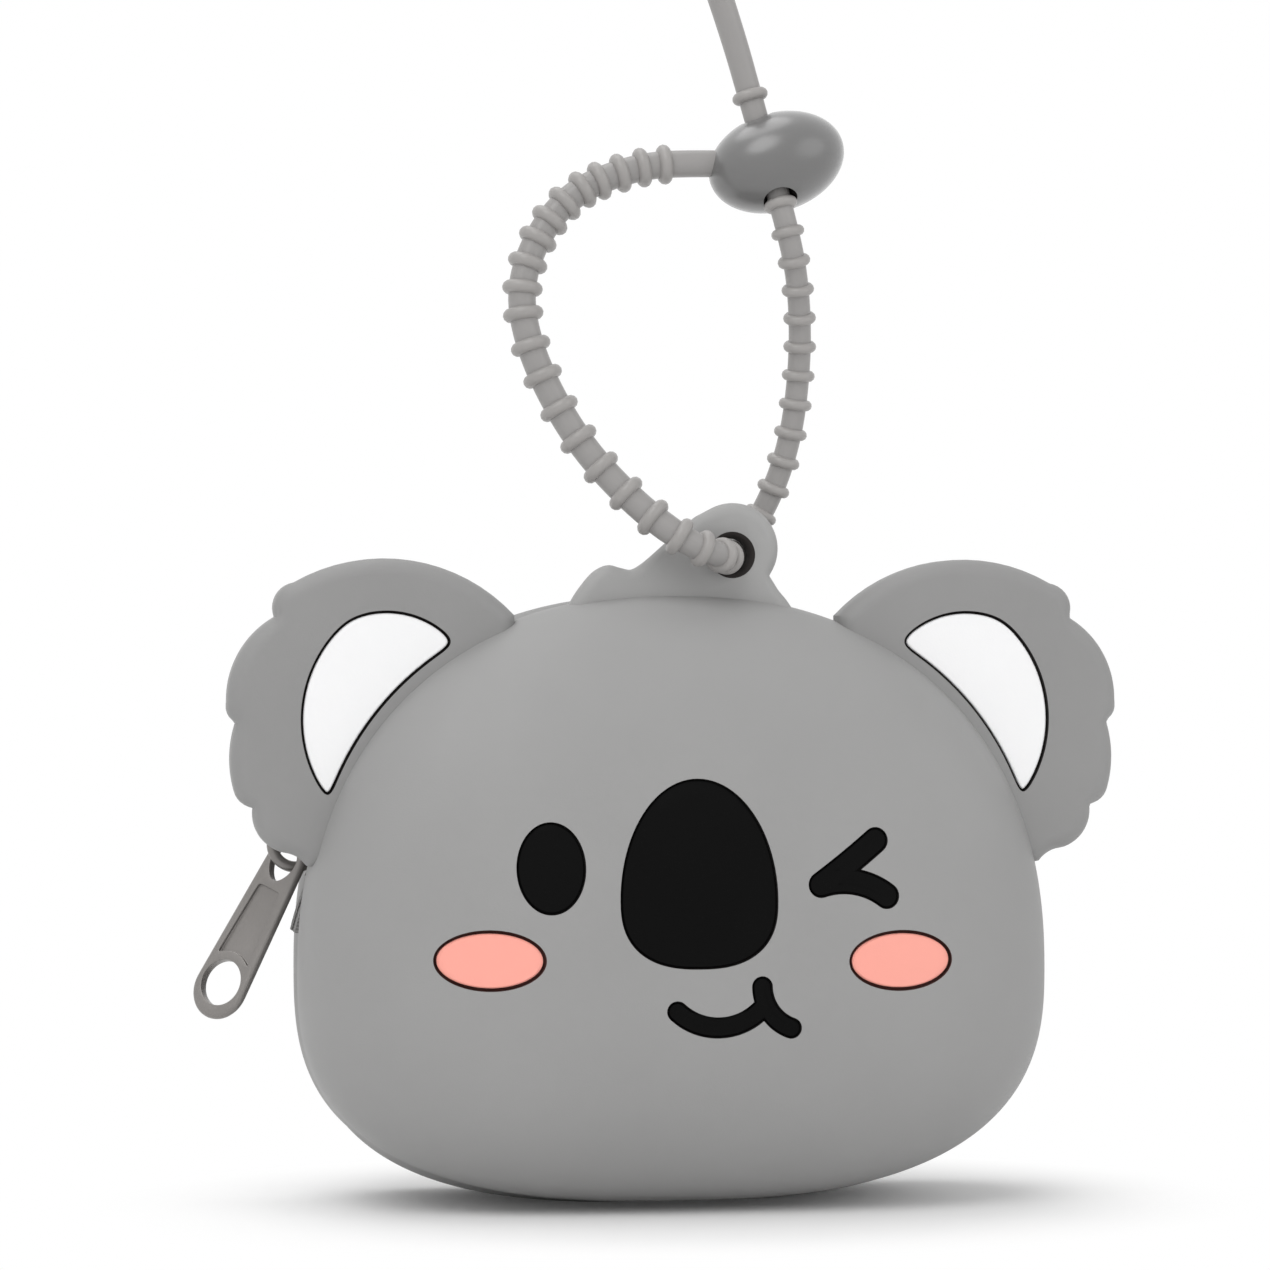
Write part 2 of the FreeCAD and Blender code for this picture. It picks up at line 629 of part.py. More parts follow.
def strap_path():
    """The strap's middle line: straight runs joined by the largest arcs that they have room for."""
    points = strap_points()
    runs = [b - a for a, b in zip(points, points[1:])]
    edges, start = [], points[0]
    for before, after, corner in zip(runs, runs[1:], points[1:]):
        turn = before.getAngle(after)
        cut = STRAP_RUN_SHARE * min(before.Length, after.Length)
        radius = cut / math.tan(turn / 2)
        into, out = before.normalize(), Vector(after).normalize()
        first, last = corner - into * cut, corner + out * cut
        inward = (out - into).normalize()
        middle = corner + inward * (radius / math.cos(turn / 2) - radius)
        edges += [Part.makeLine(start, first), Part.Arc(first, middle, last).toShape()]
        start = last
    edges.append(Part.makeLine(start, points[-1]))
    return edges


def along_path(edges, distance):
    """The point and the direction of a path at a distance from its start."""
    for edge in edges:
        if distance <= edge.Length or edge is edges[-1]:
            parameter = edge.getParameterByLength(min(distance, edge.Length))
            return edge.valueAt(parameter), edge.tangentAt(parameter)
        distance -= edge.Length


def strap_radius(distance, loop_length, length):
    """The strap's bare radius: it thins along the loop to the toggle, and is a little fuller in its tail."""
    if distance < loop_length:
        return STRAP_NECK_RADIUS + (STRAP_LEG_RADIUS - STRAP_NECK_RADIUS) * distance / loop_length
    tail = (distance - loop_length) / (length - loop_length)
    return STRAP_LEG_RADIUS + (STRAP_TAIL_RADIUS - STRAP_LEG_RADIUS) * tail


def rib_places(length):
    """The distance of each rib along the strap: close together by the toggle, then wider apart."""
    places, at = [], FIRST_RIB
    while at < length:
        places.append(at)
        ease = min(at / RIB_EASE_LENGTH, 1)
        at += RIB_START_PITCH + (RIB_PITCH - RIB_START_PITCH) * ease
    return places


def strap_stations(edges):
    """Each circle that the strap is lofted through: its distance along the path and its radius."""
    length = sum(e.Length for e in edges)
    middles = rib_places(length)
    entry = next(d for d in middles if d > length / 2 and near_bead(along_path(edges, d)[0]))
    loop_length = entry - RIB_PITCH / 2
    stations = [(0, STRAP_NECK_RADIUS)]
    for middle in middles:
        point = along_path(edges, middle)[0]
        ribbed = middle < loop_length or one_rib_past(middle, edges, entry)
        if ribbed and middle < length - 2 * RIB_PITCH:
            radius = strap_radius(middle, loop_length, length)
            half, crest = RIB_LENGTH / 2, RIB_LENGTH / 2 * RIB_CREST_SHARE
            rise = 0 if in_eye(point) else RIB_HEIGHT_SHARE * radius
            for offset, swell in ((-half, 0), (-crest, rise), (crest, rise), (half, 0)):
                stations.append((middle + offset, radius + swell))
        else:
            stations.append((middle, strap_radius(middle, loop_length, length)))
    stations = [s for s in stations if s[0] < length - STRAP_TIP_LENGTH - RIB_LENGTH]
    stations.append((length - STRAP_TIP_LENGTH, STRAP_TAIL_RADIUS))
    stations.append((length, STRAP_TIP_RADIUS))
    return stations


def near_bead(point):
    """Whether a point of the path lies inside the toggle, or close enough for a rib to touch it."""
    return abs(point.z - BEAD_Z) < BEAD_HALF_HEIGHT + RIB_LENGTH and point.x > BEAD_X - BEAD_HALF_WIDTH


def in_eye(point):
    """Whether a rib at a point of the path would meet the eye that the strap runs through."""
    spare = EYE_THICKNESS / 2 + RIB_LENGTH
    return abs(point.y - EYE_MIDDLE_Y) < spare and (point - Vector(BORE_X, point.y, BORE_Z)).Length < EYE_RADIUS


def one_rib_past(distance, edges, entry):
    """Whether this is the first rib where the strap comes out of the toggle again."""
    clear = not near_bead(along_path(edges, distance)[0])
    before = near_bead(along_path(edges, distance - RIB_PITCH)[0])
    return distance > entry and clear and before


def strap(edges):
    """The ribbed strap: one ruled skin through four circles a rib, each square to its path."""
    circles, side = [], Y_AXIS
    for distance, radius in strap_stations(edges):
        point, direction = along_path(edges, distance)
        side = (side - direction * side.dot(direction)).normalize()
        circle = Part.makeCircle(radius)
        turn = FreeCAD.Rotation(side, direction.cross(side), direction, "ZXY")
        circle.Placement = FreeCAD.Placement(point, turn)
        circles.append(Part.Wire([circle]))
    solid = Part.makeLoft(circles, True, True)
    length = sum(e.Length for e in edges)
    plain = math.pi * ((STRAP_NECK_RADIUS + STRAP_LEG_RADIUS) / 2) ** 2 * length
    print("strap length", round(length, 1), "volume", round(solid.Volume), "plain volume", round(plain))
    return solid


def bead(strap_edges):
    """The toggle: a flattened ball with a neck for the strap's start and a bore for its other end."""
    ball = Part.makeSphere(BEAD_HALF_WIDTH)
    matrix = FreeCAD.Matrix()
    matrix.scale(1, BEAD_HALF_DEPTH / BEAD_HALF_WIDTH, BEAD_HALF_HEIGHT / BEAD_HALF_WIDTH)
    ball = ball.transformGeometry(matrix)
    ball.rotate(Vector(0, 0, 0), Y_AXIS, -BEAD_TILT_ANGLE)
    ball.translate(Vector(BEAD_X, BEAD_Y, BEAD_Z))
    start, second = strap_points()[:2]
    way = (second - start).normalize()
    neck = Part.makeCylinder(BEAD_NECK_RADIUS, BEAD_HALF_WIDTH / 2, start, way * -1)
    bore_radius = max(STRAP_LEG_RADIUS, STRAP_TAIL_RADIUS) + BEAD_BORE_FIT
    inside = [e for e in strap_edges[len(strap_edges) // 2:] if near_bead(e.CenterOfMass)]
    solid = ball.fuse(neck)
    for edge in inside:
        points = edge.discretize(Number=BEAD_BORE_STEPS + 1)
        for first, last in zip(points, points[1:]):
            solid = solid.cut(Part.makeCylinder(bore_radius, (last - first).Length, first, last - first))
            solid = solid.cut(Part.makeSphere(bore_radius, first))
    return solid


def fold_wedge(low_angle, high_angle):
    """A wedge behind the flap's axis, between two angles below the level."""
    reach = 2 * EAR_TIP_X
    tip = Vector(-EAR_TIP_X, 0, FLAP_AXIS_Z)
    ends = [
        tip + Vector(0, reach * math.cos(math.radians(a)), -reach * math.sin(math.radians(a)))
        for a in (low_angle, high_angle)
    ]
    face = Part.Face(Part.makePolygon([tip, *ends, tip]))
    return face.extrude(Vector(2 * EAR_TIP_X, 0, 0))


def build():
    """Every piece of the purse by its name."""
    parts = {}
    cavity = front_half(WALL)
    outer = front_half()
    floor = front_half(POCKET_DEPTH)
    skin = front_half(INLAY_RECESS)
    seat = front_half(POCKET_DEPTH - INLAY_SEAT)
    ear = right_ear()
    pocket = right_ear_inlay(0, EAR_FRONT_Y - OVERRUN, OVERRUN + EAR_POCKET_DEPTH)
    plate, bore = strap_eye()
    shell = outer.fuse([ear, mirrored(ear), plate]).cut(cavity).cut(bore)
    shell = shell.cut(pocket).cut(mirrored(pocket))
    pockets = face_prisms(0)
    for prism in pockets.values():
        shell = shell.cut(prism.cut(floor))
    shell = shell.cut(zip_gap()).cut(tape_band(-1, TAPE_FIT)).cut(under_floor())
    parts["front_shell"] = shell

    for name, prism in face_prisms(INLAY_FIT).items():
        parts[name] = prism.common(skin).cut(seat)
    ear_depth = EAR_POCKET_DEPTH - INLAY_RECESS - INLAY_SEAT
    inlay = right_ear_inlay(INLAY_FIT, EAR_FRONT_Y + INLAY_RECESS, ear_depth).cut(outer)
    parts["right_ear_inlay"] = inlay
    parts["left_ear_inlay"] = mirrored(inlay)

    back = back_half().cut(back_half(WALL)).cut(zip_gap()).cut(under_floor()).cut(tape_band(1, TAPE_FIT))
    open_wedge = fold_wedge(0, FLAP_OPEN_ANGLE + FOLD_SPARE_ANGLE)
    above = box(Vector(-EAR_TIP_X, 0, FLAP_AXIS_Z), Vector(EAR_TIP_X, EAR_TIP_X, EAR_TOP_Z))
    parts["back_flap"] = back.common(above)
    parts["back_fold"] = back.common(open_wedge)
    parts["back_base"] = back.cut(above).cut(open_wedge)

    parts["front_tape"] = tape_band(-1)
    parts["back_tape"] = tape_band(1)
    parts["front_teeth"] = tooth_row(-1, FIRST_TOOTH_ANGLE)
    parts["back_teeth"] = tooth_row(1, FIRST_TOOTH_ANGLE + TOOTH_PITCH_ANGLE / 2)
    stop = tooth(-1, STOP_LENGTH)
    parts["left_stop"] = turned(stop, STOP_ANGLE)
    parts["right_stop"] = turned(stop, 180 - STOP_ANGLE)
    parts["slider"] = turned(slider(), SLIDER_ANGLE)
    parts["pull"] = turned(pull(), SLIDER_ANGLE)
    strap_line = strap_path()
    parts["strap"] = strap(strap_line)
    parts["strap_toggle"] = bead(strap_line)
    return parts


os.makedirs("parts", exist_ok=True)
for node, shape in build().items():
    shape.exportStep(f"parts/{node}.step")
    print(node, "solids", len(shape.Solids), "valid", shape.isValid(), "volume", round(shape.Volume, 1))
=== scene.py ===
"""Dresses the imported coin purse: moulded silicone shells, sunk face inlays, a zip and a ribbed wrist strap.

The purse is a koala's head in grey silicone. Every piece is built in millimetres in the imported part's own
frame, with +Z up, the face towards -Y and x = 0 on the head's middle plane, and is turned to metres when its
mesh is made.
"""

from __future__ import annotations

import logging
import math
from dataclasses import dataclass, field
from enum import Enum
from typing import Any, Callable, Sequence

import bmesh
import bpy
import numpy as np
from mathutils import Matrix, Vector

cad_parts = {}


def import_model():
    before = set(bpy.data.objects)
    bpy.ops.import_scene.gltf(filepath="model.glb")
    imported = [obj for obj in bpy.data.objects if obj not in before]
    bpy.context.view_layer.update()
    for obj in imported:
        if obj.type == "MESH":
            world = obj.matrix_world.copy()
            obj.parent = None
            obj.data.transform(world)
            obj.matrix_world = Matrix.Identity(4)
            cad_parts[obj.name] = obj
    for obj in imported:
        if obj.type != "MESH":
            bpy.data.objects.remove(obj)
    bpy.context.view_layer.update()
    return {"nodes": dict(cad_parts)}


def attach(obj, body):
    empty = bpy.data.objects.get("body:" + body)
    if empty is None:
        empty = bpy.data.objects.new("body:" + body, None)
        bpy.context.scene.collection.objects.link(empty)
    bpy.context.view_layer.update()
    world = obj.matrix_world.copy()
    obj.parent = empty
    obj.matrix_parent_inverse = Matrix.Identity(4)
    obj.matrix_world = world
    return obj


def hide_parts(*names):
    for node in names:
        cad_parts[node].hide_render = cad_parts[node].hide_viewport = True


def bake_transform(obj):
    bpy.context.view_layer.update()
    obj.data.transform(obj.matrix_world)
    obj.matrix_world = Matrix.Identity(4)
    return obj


LOG = logging.getLogger("coin_purse")
MM = 0.001
OVERRUN = 3.0
SAME_POINT = 1e-4
SLIVER = 1e-3
FULL_TURN = 2 * math.pi
BORE_SIDES = 48
ZIP_RADIUS = 43.6
Pair = tuple[float, float]
Triple = tuple[float, float, float]
Colour = Triple
Piece = bpy.types.Object


class Joining(Enum):
    """How two closed meshes are put together."""

    ADD = "UNION"
    TAKE = "DIFFERENCE"


class Half(Enum):
    """The two halves of the head, by the way each one swells from the zip's plane."""

    FRONT = -1.0
    BACK = 1.0


def sum_method(operation: str, swapped: bool = False) -> Callable[[Value, Value | float], Value]:
    """A method that adds one Math node on a value and another term, or on the two swapped.

    Args:
        operation: The Math node's operation.
        swapped: Whether the value is the second term.

    Returns:
        The method.
    """

    def method(self: Value, other: Value | float) -> Value:
        """The new node's result."""
        return self.graph.math(operation, *((other, self) if swapped else (self, other)))

    return method


class Value:
    """A socket of a node tree that takes part in Python sums, each of which adds a Math node."""

    def __init__(self, graph: Graph, socket: bpy.types.NodeSocket) -> None:
        """Keeps the socket and the graph that it belongs to."""
        self.graph = graph
        self.socket = socket

    __add__ = sum_method("ADD")
    __radd__ = sum_method("ADD", swapped=True)
    __sub__ = sum_method("SUBTRACT")
    __rsub__ = sum_method("SUBTRACT", swapped=True)
    __mul__ = sum_method("MULTIPLY")
    __rmul__ = sum_method("MULTIPLY", swapped=True)
    __pow__ = sum_method("POWER")
    __gt__ = sum_method("GREATER_THAN")


class Graph:
    """A node tree in the making, for a material or for geometry."""

    def __init__(self, tree: bpy.types.NodeTree) -> None:
        """Starts on an empty tree."""
        self.tree = tree
        tree.nodes.clear()

    def node(
        self, kind: str, settings: dict[str, Any] | None = None, sockets: dict[Any, Any] | None = None
    ) -> bpy.types.Node:
        """Adds one node.

        Args:
            kind: The node's type.
            settings: What is set on the node itself, before its sockets.
            sockets: Values or links of its inputs, by name or by number.

        Returns:
            The node.
        """
        made = self.tree.nodes.new(kind)
        for name, value in (settings or {}).items():
            setattr(made, name, value)
        for key, value in (sockets or {}).items():
            self.feed(made.inputs[key], value)
        return made

    def feed(self, socket: bpy.types.NodeSocket, value: Any) -> None:
        """Links a value to a socket, or sets it there.

        Args:
            socket: The socket.
            value: A value of the graph, or a plain one.
        """
        if isinstance(value, Value):
            self.tree.links.new(value.socket, socket)
        else:
            socket.default_value = value

    def out(self, made: bpy.types.Node, key: str | int = 0) -> Value:
        """One output of a node as a value."""
        return Value(self, made.outputs[key])

    def math(self, operation: str, *terms: Value | float) -> Value:
        """One Math node on values or numbers."""
        return self.out(self.node("ShaderNodeMath", {"operation": operation}, dict(enumerate(terms))))

    def mix(self, share: Value, first: Colour | Value, second: Colour | Value) -> Value:
        """A colour between two colours.

        Args:
            share: How much of the second there is.
            first: One colour.
            second: The other.

        Returns:
            The mixed colour.
        """
        first, second = ((*c, 1.0) if isinstance(c, tuple) else c for c in (first, second))
        # The mix node's colours are its inputs 6 and 7 and its output 2.
        made = self.node("ShaderNodeMix", {"data_type": "RGBA"}, {0: share, 6: first, 7: second})
        return self.out(made, 2)

    def here(self) -> Value:
        """The point on the piece, in metres."""
        return self.out(self.node("ShaderNodeTexCoord"), "Object")

    def noise(self, place: Value, size_mm: float, detail: float = 2.0, distortion: float = 0.0) -> Value:
        """Cloudy noise from 0 to 1 whose patches have a size in millimetres."""
        sockets = {"Vector": place, "Scale": 1 / (size_mm * MM), "Detail": detail, "Distortion": distortion}
        return self.out(self.node("ShaderNodeTexNoise", {}, sockets))

    def bump(self, height: Value, depth_mm: float) -> Value:
        """A normal that follows a height from 0 to 1 over a depth in millimetres."""
        sockets = {"Height": height, "Distance": depth_mm * MM, "Strength": 1.0}
        return self.out(self.node("ShaderNodeBump", {}, sockets))

    def seen(self) -> Value:
        """One for what the camera sees, straight or in a reflection, and zero for light that bounces.

        Returns:
            The value.
        """
        path = self.node("ShaderNodeLightPath")
        rays = [self.out(path, f"Is {kind} Ray") for kind in ("Camera", "Glossy", "Transmission")]
        return self.math("MINIMUM", rays[0] + rays[1] + rays[2], 1.0)

    def surface(self, sockets: dict[str, Any]) -> None:
        """Ends a material in one shader with these sockets."""
        shader = self.node("ShaderNodeBsdfPrincipled", {}, sockets)
        self.node("ShaderNodeOutputMaterial", {}, {"Surface": self.out(shader)})


def toned(colour: Colour, share: float) -> Colour:
    """A colour made darker, or lighter up to white."""
    return tuple(min(1.0, c * share) for c in colour)


class Finish:
    """What every finish shares: its material is made once and then kept."""

    name: str

    def material(self) -> bpy.types.Material:
        """The finish as a material, made at its first use.

        Returns:
            The material.
        """
        found = bpy.data.materials.get(self.name)
        if found is None:
            found = bpy.data.materials.new(self.name)
            found.use_nodes = True
            self.paint(Graph(found.node_tree))
        return found

    def paint(self, graph: Graph) -> None:
        """Adds the finish's own nodes."""
        raise NotImplementedError


@dataclass(frozen=True)
class MouldedSilicone(Finish):
    """Matt silicone: soft clouding, a fine grain from the mould and rubbed, slightly glossier patches."""

    name: str
    colour: Colour
    clouding: float = 0.05
    cloud_mm: float = 16.0
    roughness: float = 0.56
    rubbed: float = 0.1
    rub_share: float = 0.6
    rub_distortion: float = 0.4
    grain_mm: float = 0.22
    grain_depth_mm: float = 0.012
    speck: float = 0.04
    speck_mm: float = 0.8
    speck_contrast: float = 3.0
    specular: float = 0.4
    sheen: float = 0.04
    coat: float = 0.0
    coat_roughness: float = 0.3

    def tint(self, graph: Graph, tone: Value) -> Value:
        """The colour, clouded by a tone from 0 to 1."""
        return graph.mix(tone, *self.shades(self.colour))

    def shades(self, colour: Colour) -> tuple[Colour, Colour]:
        """The darkest and the lightest clouding of a colour."""
        return toned(colour, 1.0 - self.clouding), toned(colour, 1.0 + self.clouding)

    def paint(self, graph: Graph) -> None:
        """Clouds and specks the colour, and grains the surface.

        Args:
            graph: The material's node tree.
        """
        place = graph.here()
        cloud = graph.noise(place, self.cloud_mm, detail=3.0)
        dust = graph.noise(place, self.speck_mm) ** self.speck_contrast
        grain = graph.noise(place, self.grain_mm, detail=3.0)
        worn = graph.noise(place, self.cloud_mm * self.rub_share, distortion=self.rub_distortion)
        sockets = {
            "Base Color": self.tint(graph, cloud * (1.0 - self.speck) + dust * self.speck),
            "Roughness": self.roughness - self.rubbed * worn + self.rubbed / 2,
            "Normal": graph.bump(grain, self.grain_depth_mm),
            "Specular IOR Level": self.specular,
            "Sheen Weight": self.sheen,
            "Coat Weight": self.coat,
            "Coat Roughness": self.coat_roughness,
        }
        graph.surface(sockets)


@dataclass(frozen=True)
class RibbedSilicone(MouldedSilicone):
    """Silicone whose ribs, marked by an attribute of the mesh, get a paler copy of the cord's colour: painted
    light on the raised ribs.
    """

    rib_painted_light_colour: Colour = (0.4, 0.4, 0.4)
    rib_mark: str = "crest"

    def tint(self, graph: Graph, tone: Value) -> Value:
        """The clouded colour of the cord, or the paler colour of painted light where the mesh marks a rib."""
        mark = graph.out(graph.node("ShaderNodeAttribute", {"attribute_name": self.rib_mark}), "Fac")
        return graph.mix(mark, super().tint(graph, tone), graph.mix(tone, *self.shades(self.rib_painted_light_colour)))


@dataclass(frozen=True)
class ZipWeave(Finish):
    """Zip tape: a herringbone of fine yarns with flecks, read from the tape's own map of millimetres; its
    colour is painted shade in the weave's hollows and painted light on its crests.
    """

    name: str
    colour: Colour
    yarn_mm: float = 0.42
    yarn_relief: float = 0.35
    rib_mm: float = 1.26
    rib_relief: float = 0.15
    relief_mm: float = 0.1
    fleck_mm: float = 0.5
    fleck_share: float = 0.4
    shade_shares: Pair = (0.42, 1.25)
    roughness: float = 0.95
    gloss: float = 0.15
    specular: float = 0.2
    sheen: float = 0.25

    def paint(self, graph: Graph) -> None:
        """Crosses two slanted rows of yarns, and flecks them.

        Args:
            graph: The material's node tree.
        """
        across = graph.node("ShaderNodeSeparateXYZ", {}, {0: graph.out(graph.node("ShaderNodeUVMap"), 0)})
        along, over = graph.out(across, "X"), graph.out(across, "Y")
        zigzag = graph.math("PINGPONG", over, self.rib_mm)
        yarn = graph.math("SINE", (along + zigzag) * (FULL_TURN / self.yarn_mm))
        rib = graph.math("SINE", over * (FULL_TURN / self.rib_mm))
        height = yarn * self.yarn_relief + rib * self.rib_relief + 0.5
        fleck = graph.noise(graph.here(), self.fleck_mm)
        # The colour follows the weave's height: painted shade in its hollows and painted light on its crests;
        # the flecks are the yarns' own tone.
        tone = height * (1 - self.fleck_share) + fleck * self.fleck_share
        sockets = {
            "Base Color": graph.mix(tone, *(toned(self.colour, share) for share in self.shade_shares)),
            "Roughness": self.roughness - self.gloss * height,
            "Normal": graph.bump(height, self.relief_mm),
            "Specular IOR Level": self.specular,
            "Sheen Weight": self.sheen,
        }
        graph.surface(sockets)


@dataclass(frozen=True)
class PaintedMetal(Finish):
    """Cast zip metal under warm grey lacquer: orange peel, hairline rubs along the pull and a satin gloss."""

    name: str
    colour: Colour
    metallic: float = 0.55
    roughness: float = 0.4
    coat: float = 0.25
    coat_roughness: float = 0.22
    cloud_mm: float = 4.0
    peel_mm: float = 0.35
    relief_mm: float = 0.012
    rub_mm: float = 1.1
    rub_squeeze: Triple = (6.0, 6.0, 0.7)
    rub_gloss: float = 0.24
    shade_shares: Pair = (0.82, 1.14)

    def paint(self, graph: Graph) -> None:
        """Rubs the lacquer and lets the peel show in the gloss.

        Args:
            graph: The material's node tree.
        """
        place = graph.here()
        stretch = graph.node("ShaderNodeMapping", {}, {"Vector": place, "Scale": self.rub_squeeze})
        rubs = graph.noise(graph.out(stretch), self.rub_mm, detail=4.0)
        cloud = graph.noise(place, self.cloud_mm, detail=3.0)
        peel = graph.noise(place, self.peel_mm)
        shades = (toned(self.colour, share) for share in self.shade_shares)
        sockets = {
            "Base Color": graph.mix(cloud * 0.5 + rubs * 0.5, *shades),
            "Metallic": self.metallic,
            "Roughness": self.roughness - self.rub_gloss / 2 + self.rub_gloss * rubs,
            "Normal": graph.bump(peel * 0.5 + rubs * 0.5, self.relief_mm),
            "Coat Weight": self.coat,
            "Coat Roughness": self.coat_roughness,
        }
        graph.surface(sockets)


@dataclass(frozen=True)
class StudioPaper(Finish):
    """The white paper sweep: close to the purse it keeps the lamps' soft shadow, and further off it glows
    white to the camera and in reflections, painted light over the shadow.
    """

    name: str
    colour: Colour
    fibre_mm: float = 30.0
    fibre_shade: float = 0.99
    near_glow_share: float = 0.03
    pool_mm: Pair = (50.0, 38.0)
    pool_middle_mm: float = -7.0
    pool_from: float = 0.85
    pool_to: float = 1.5

    def paint(self, graph: Graph) -> None:
        """Mixes a white glow into the paper, painted light, the more the further it lies from the purse.

        Args:
            graph: The material's node tree.
        """
        fibre = graph.noise(graph.here(), self.fibre_mm, detail=3.0)
        tint = graph.mix(fibre, toned(self.colour, self.fibre_shade), self.colour)
        paper = graph.node("ShaderNodeBsdfDiffuse", {}, {"Color": tint})
        glow = graph.node("ShaderNodeEmission", {}, {"Strength": 1.0})
        place = graph.node("ShaderNodeSeparateXYZ", {}, {0: graph.here()})
        across = graph.out(place, "X") * (1 / (self.pool_mm[0] * MM))
        along = (graph.out(place, "Y") - self.pool_middle_mm * MM) * (1 / (self.pool_mm[1] * MM))
        away = graph.math("SQRT", across * across + along * along)
        steps = {"Value": away, "From Min": self.pool_from, "From Max": self.pool_to}
        far = graph.out(graph.node("ShaderNodeMapRange", {"interpolation_type": "SMOOTHSTEP"}, steps))
        # Painted light: the glow grows with the distance from the purse, so the lamps' shadow shows only
        # close by.
        share = graph.seen() * (far * (1 - self.near_glow_share) + self.near_glow_share)
        blend = graph.node("ShaderNodeMixShader", {}, {0: share, 1: graph.out(paper), 2: graph.out(glow)})
        graph.node("ShaderNodeOutputMaterial", {}, {"Surface": graph.out(blend)})


SHELL_GREY = MouldedSilicone("shell_grey_silicone", (0.318, 0.316, 0.314))
# The strap's eye in a lighter copy of the shell's silicone: painted light, where the top of the ring catches
# the lamps.
EYE_LIT_GREY = MouldedSilicone("strap_eye_grey_silicone", (0.36, 0.358, 0.355))
# The ears in a darker copy of the shell's silicone: painted shade, as the ears sit back behind the dome and
# get less light.
EAR_SHADED_GREY = MouldedSilicone("ear_grey_silicone", (0.28, 0.278, 0.276))
# Dark colours for the walls of pockets and bores: painted shade, where the recesses lie in shadow. The brown
# one is the painted shade in the groove round the pink cheeks.
RECESS_PAINTED_SHADE, CHEEK_GROOVE_PAINTED_SHADE = (
    MouldedSilicone(name, colour, roughness=0.8, specular=0.15)
    for name, colour in (
        ("groove_dark_silicone", (0.03, 0.026, 0.025)),
        ("groove_brown_silicone", (0.11, 0.045, 0.038)),
    )
)
INLAY_BLACK = MouldedSilicone(
    "inlay_black_silicone", (0.003, 0.003, 0.003), clouding=0.2, roughness=0.62, specular=0.06, sheen=0.0
)
INLAY_PINK = MouldedSilicone("inlay_pink_silicone", (1.0, 0.4, 0.327), clouding=0.03, roughness=0.55)
INLAY_WHITE = MouldedSilicone("inlay_white_silicone", (0.93, 0.93, 0.935), clouding=0.015, roughness=0.5)
STRAP_GREY = RibbedSilicone(
    "strap_warm_grey_silicone",
    (0.31, 0.3, 0.294),
    cloud_mm=5.0,
    roughness=0.4,
    specular=0.3,
    sheen=0.0,
    coat=0.3,
    coat_roughness=0.25,
    # The ribs' paler colour is painted light on the raised ribs.
    rib_painted_light_colour=(0.335, 0.322, 0.313),
)
TOGGLE_GREY = MouldedSilicone(
    "toggle_satin_grey_silicone",
    (0.14, 0.139, 0.138),
    cloud_mm=7.0,
    roughness=0.32,
    rubbed=0.08,
    coat=1.0,
    coat_roughness=0.24,
)
ZIP_TAPE = ZipWeave("zip_tape_grey_weave", (0.3, 0.295, 0.29))
ZIP_TEETH = PaintedMetal("zip_teeth_grey", (0.3, 0.29, 0.28), metallic=0.35, roughness=0.45)
ZIP_METAL = PaintedMetal("zip_metal_warm_grey", (0.235, 0.222, 0.212))
PAPER = StudioPaper("studio_white_paper", (0.97, 0.97, 0.97))


class Draft:
    """Points and faces of a mesh in the making, in millimetres."""

    def __init__(self) -> None:
        """Starts empty."""
        self.points: list[np.ndarray] = []
        self.faces: list[tuple[int, ...]] = []

    def loop(self, points: np.ndarray) -> list[int]:
        """Adds points and returns their numbers.

        Args:
            points: The points.

        Returns:
            Their numbers.
        """
        first = len(self.points)
        self.points.extend(np.asarray(points, float))
        return list(range(first, len(self.points)))

    def bridge(self, first: list[int], second: list[int]) -> None:
        """Joins two rings of points of the same length with a strip of faces.

        Args:
            first: One ring's numbers.
            second: The other's.
        """
        count = len(first)
        for k in range(count):
            n = (k + 1) % count
            self.faces.append((first[k], first[n], second[n], second[k]))

    def skin(self, rows: Sequence[np.ndarray]) -> list[list[int]]:
        """Joins rings of points one after another, and returns their points' numbers.

        Args:
            rows: The rings of points.

        Returns:
            The numbers of each ring.
        """
        loops = [self.loop(r) for r in rows]
        for a, b in zip(loops, loops[1:]):
            self.bridge(a, b)
        return loops

    def capped(self, rows: Sequence[np.ndarray]) -> Draft:
        """Joins rings of points, closes both ends with a flat face and returns itself.

        Args:
            rows: The rings of points.

        Returns:
            This draft.
        """
        loops = self.skin(rows)
        self.cap(loops[0])
        self.cap(loops[-1])
        return self

    def fan(self, loop: list[int], tip: np.ndarray) -> None:
        """Closes a row of points with a fan about one point.

        Args:
            loop: The row's numbers.
            tip: The one point.
        """
        centre = self.loop([tip])[0]
        for k, point in enumerate(loop):
            self.faces.append((point, loop[(k + 1) % len(loop)], centre))

    def cap(self, loop: list[int]) -> None:
        """Closes a flat row of points with one face."""
        self.faces.append(tuple(loop))

    def piece(self, name: str, finish: Finish, crease_degrees: float = 35.0) -> Piece:
        """Makes the mesh in metres, with points that meet merged and its faces outwards.

        Args:
            name: The object's name.
            finish: Its finish.
            crease_degrees: Edges that turn by more than this stay sharp.

        Returns:
            The object, at the origin.
        """
        mesh = bpy.data.meshes.new(name)
        mesh.from_pydata([tuple(p * MM) for p in self.points], [], self.faces)
        made = bmesh.new()
        made.from_mesh(mesh)
        bmesh.ops.remove_doubles(made, verts=made.verts, dist=MM * SAME_POINT)
        bmesh.ops.recalc_face_normals(made, faces=made.faces)
        made.to_mesh(mesh)
        made.free()
        mesh.materials.append(finish.material())
        shade(mesh, crease_degrees)
        return link(name, mesh)


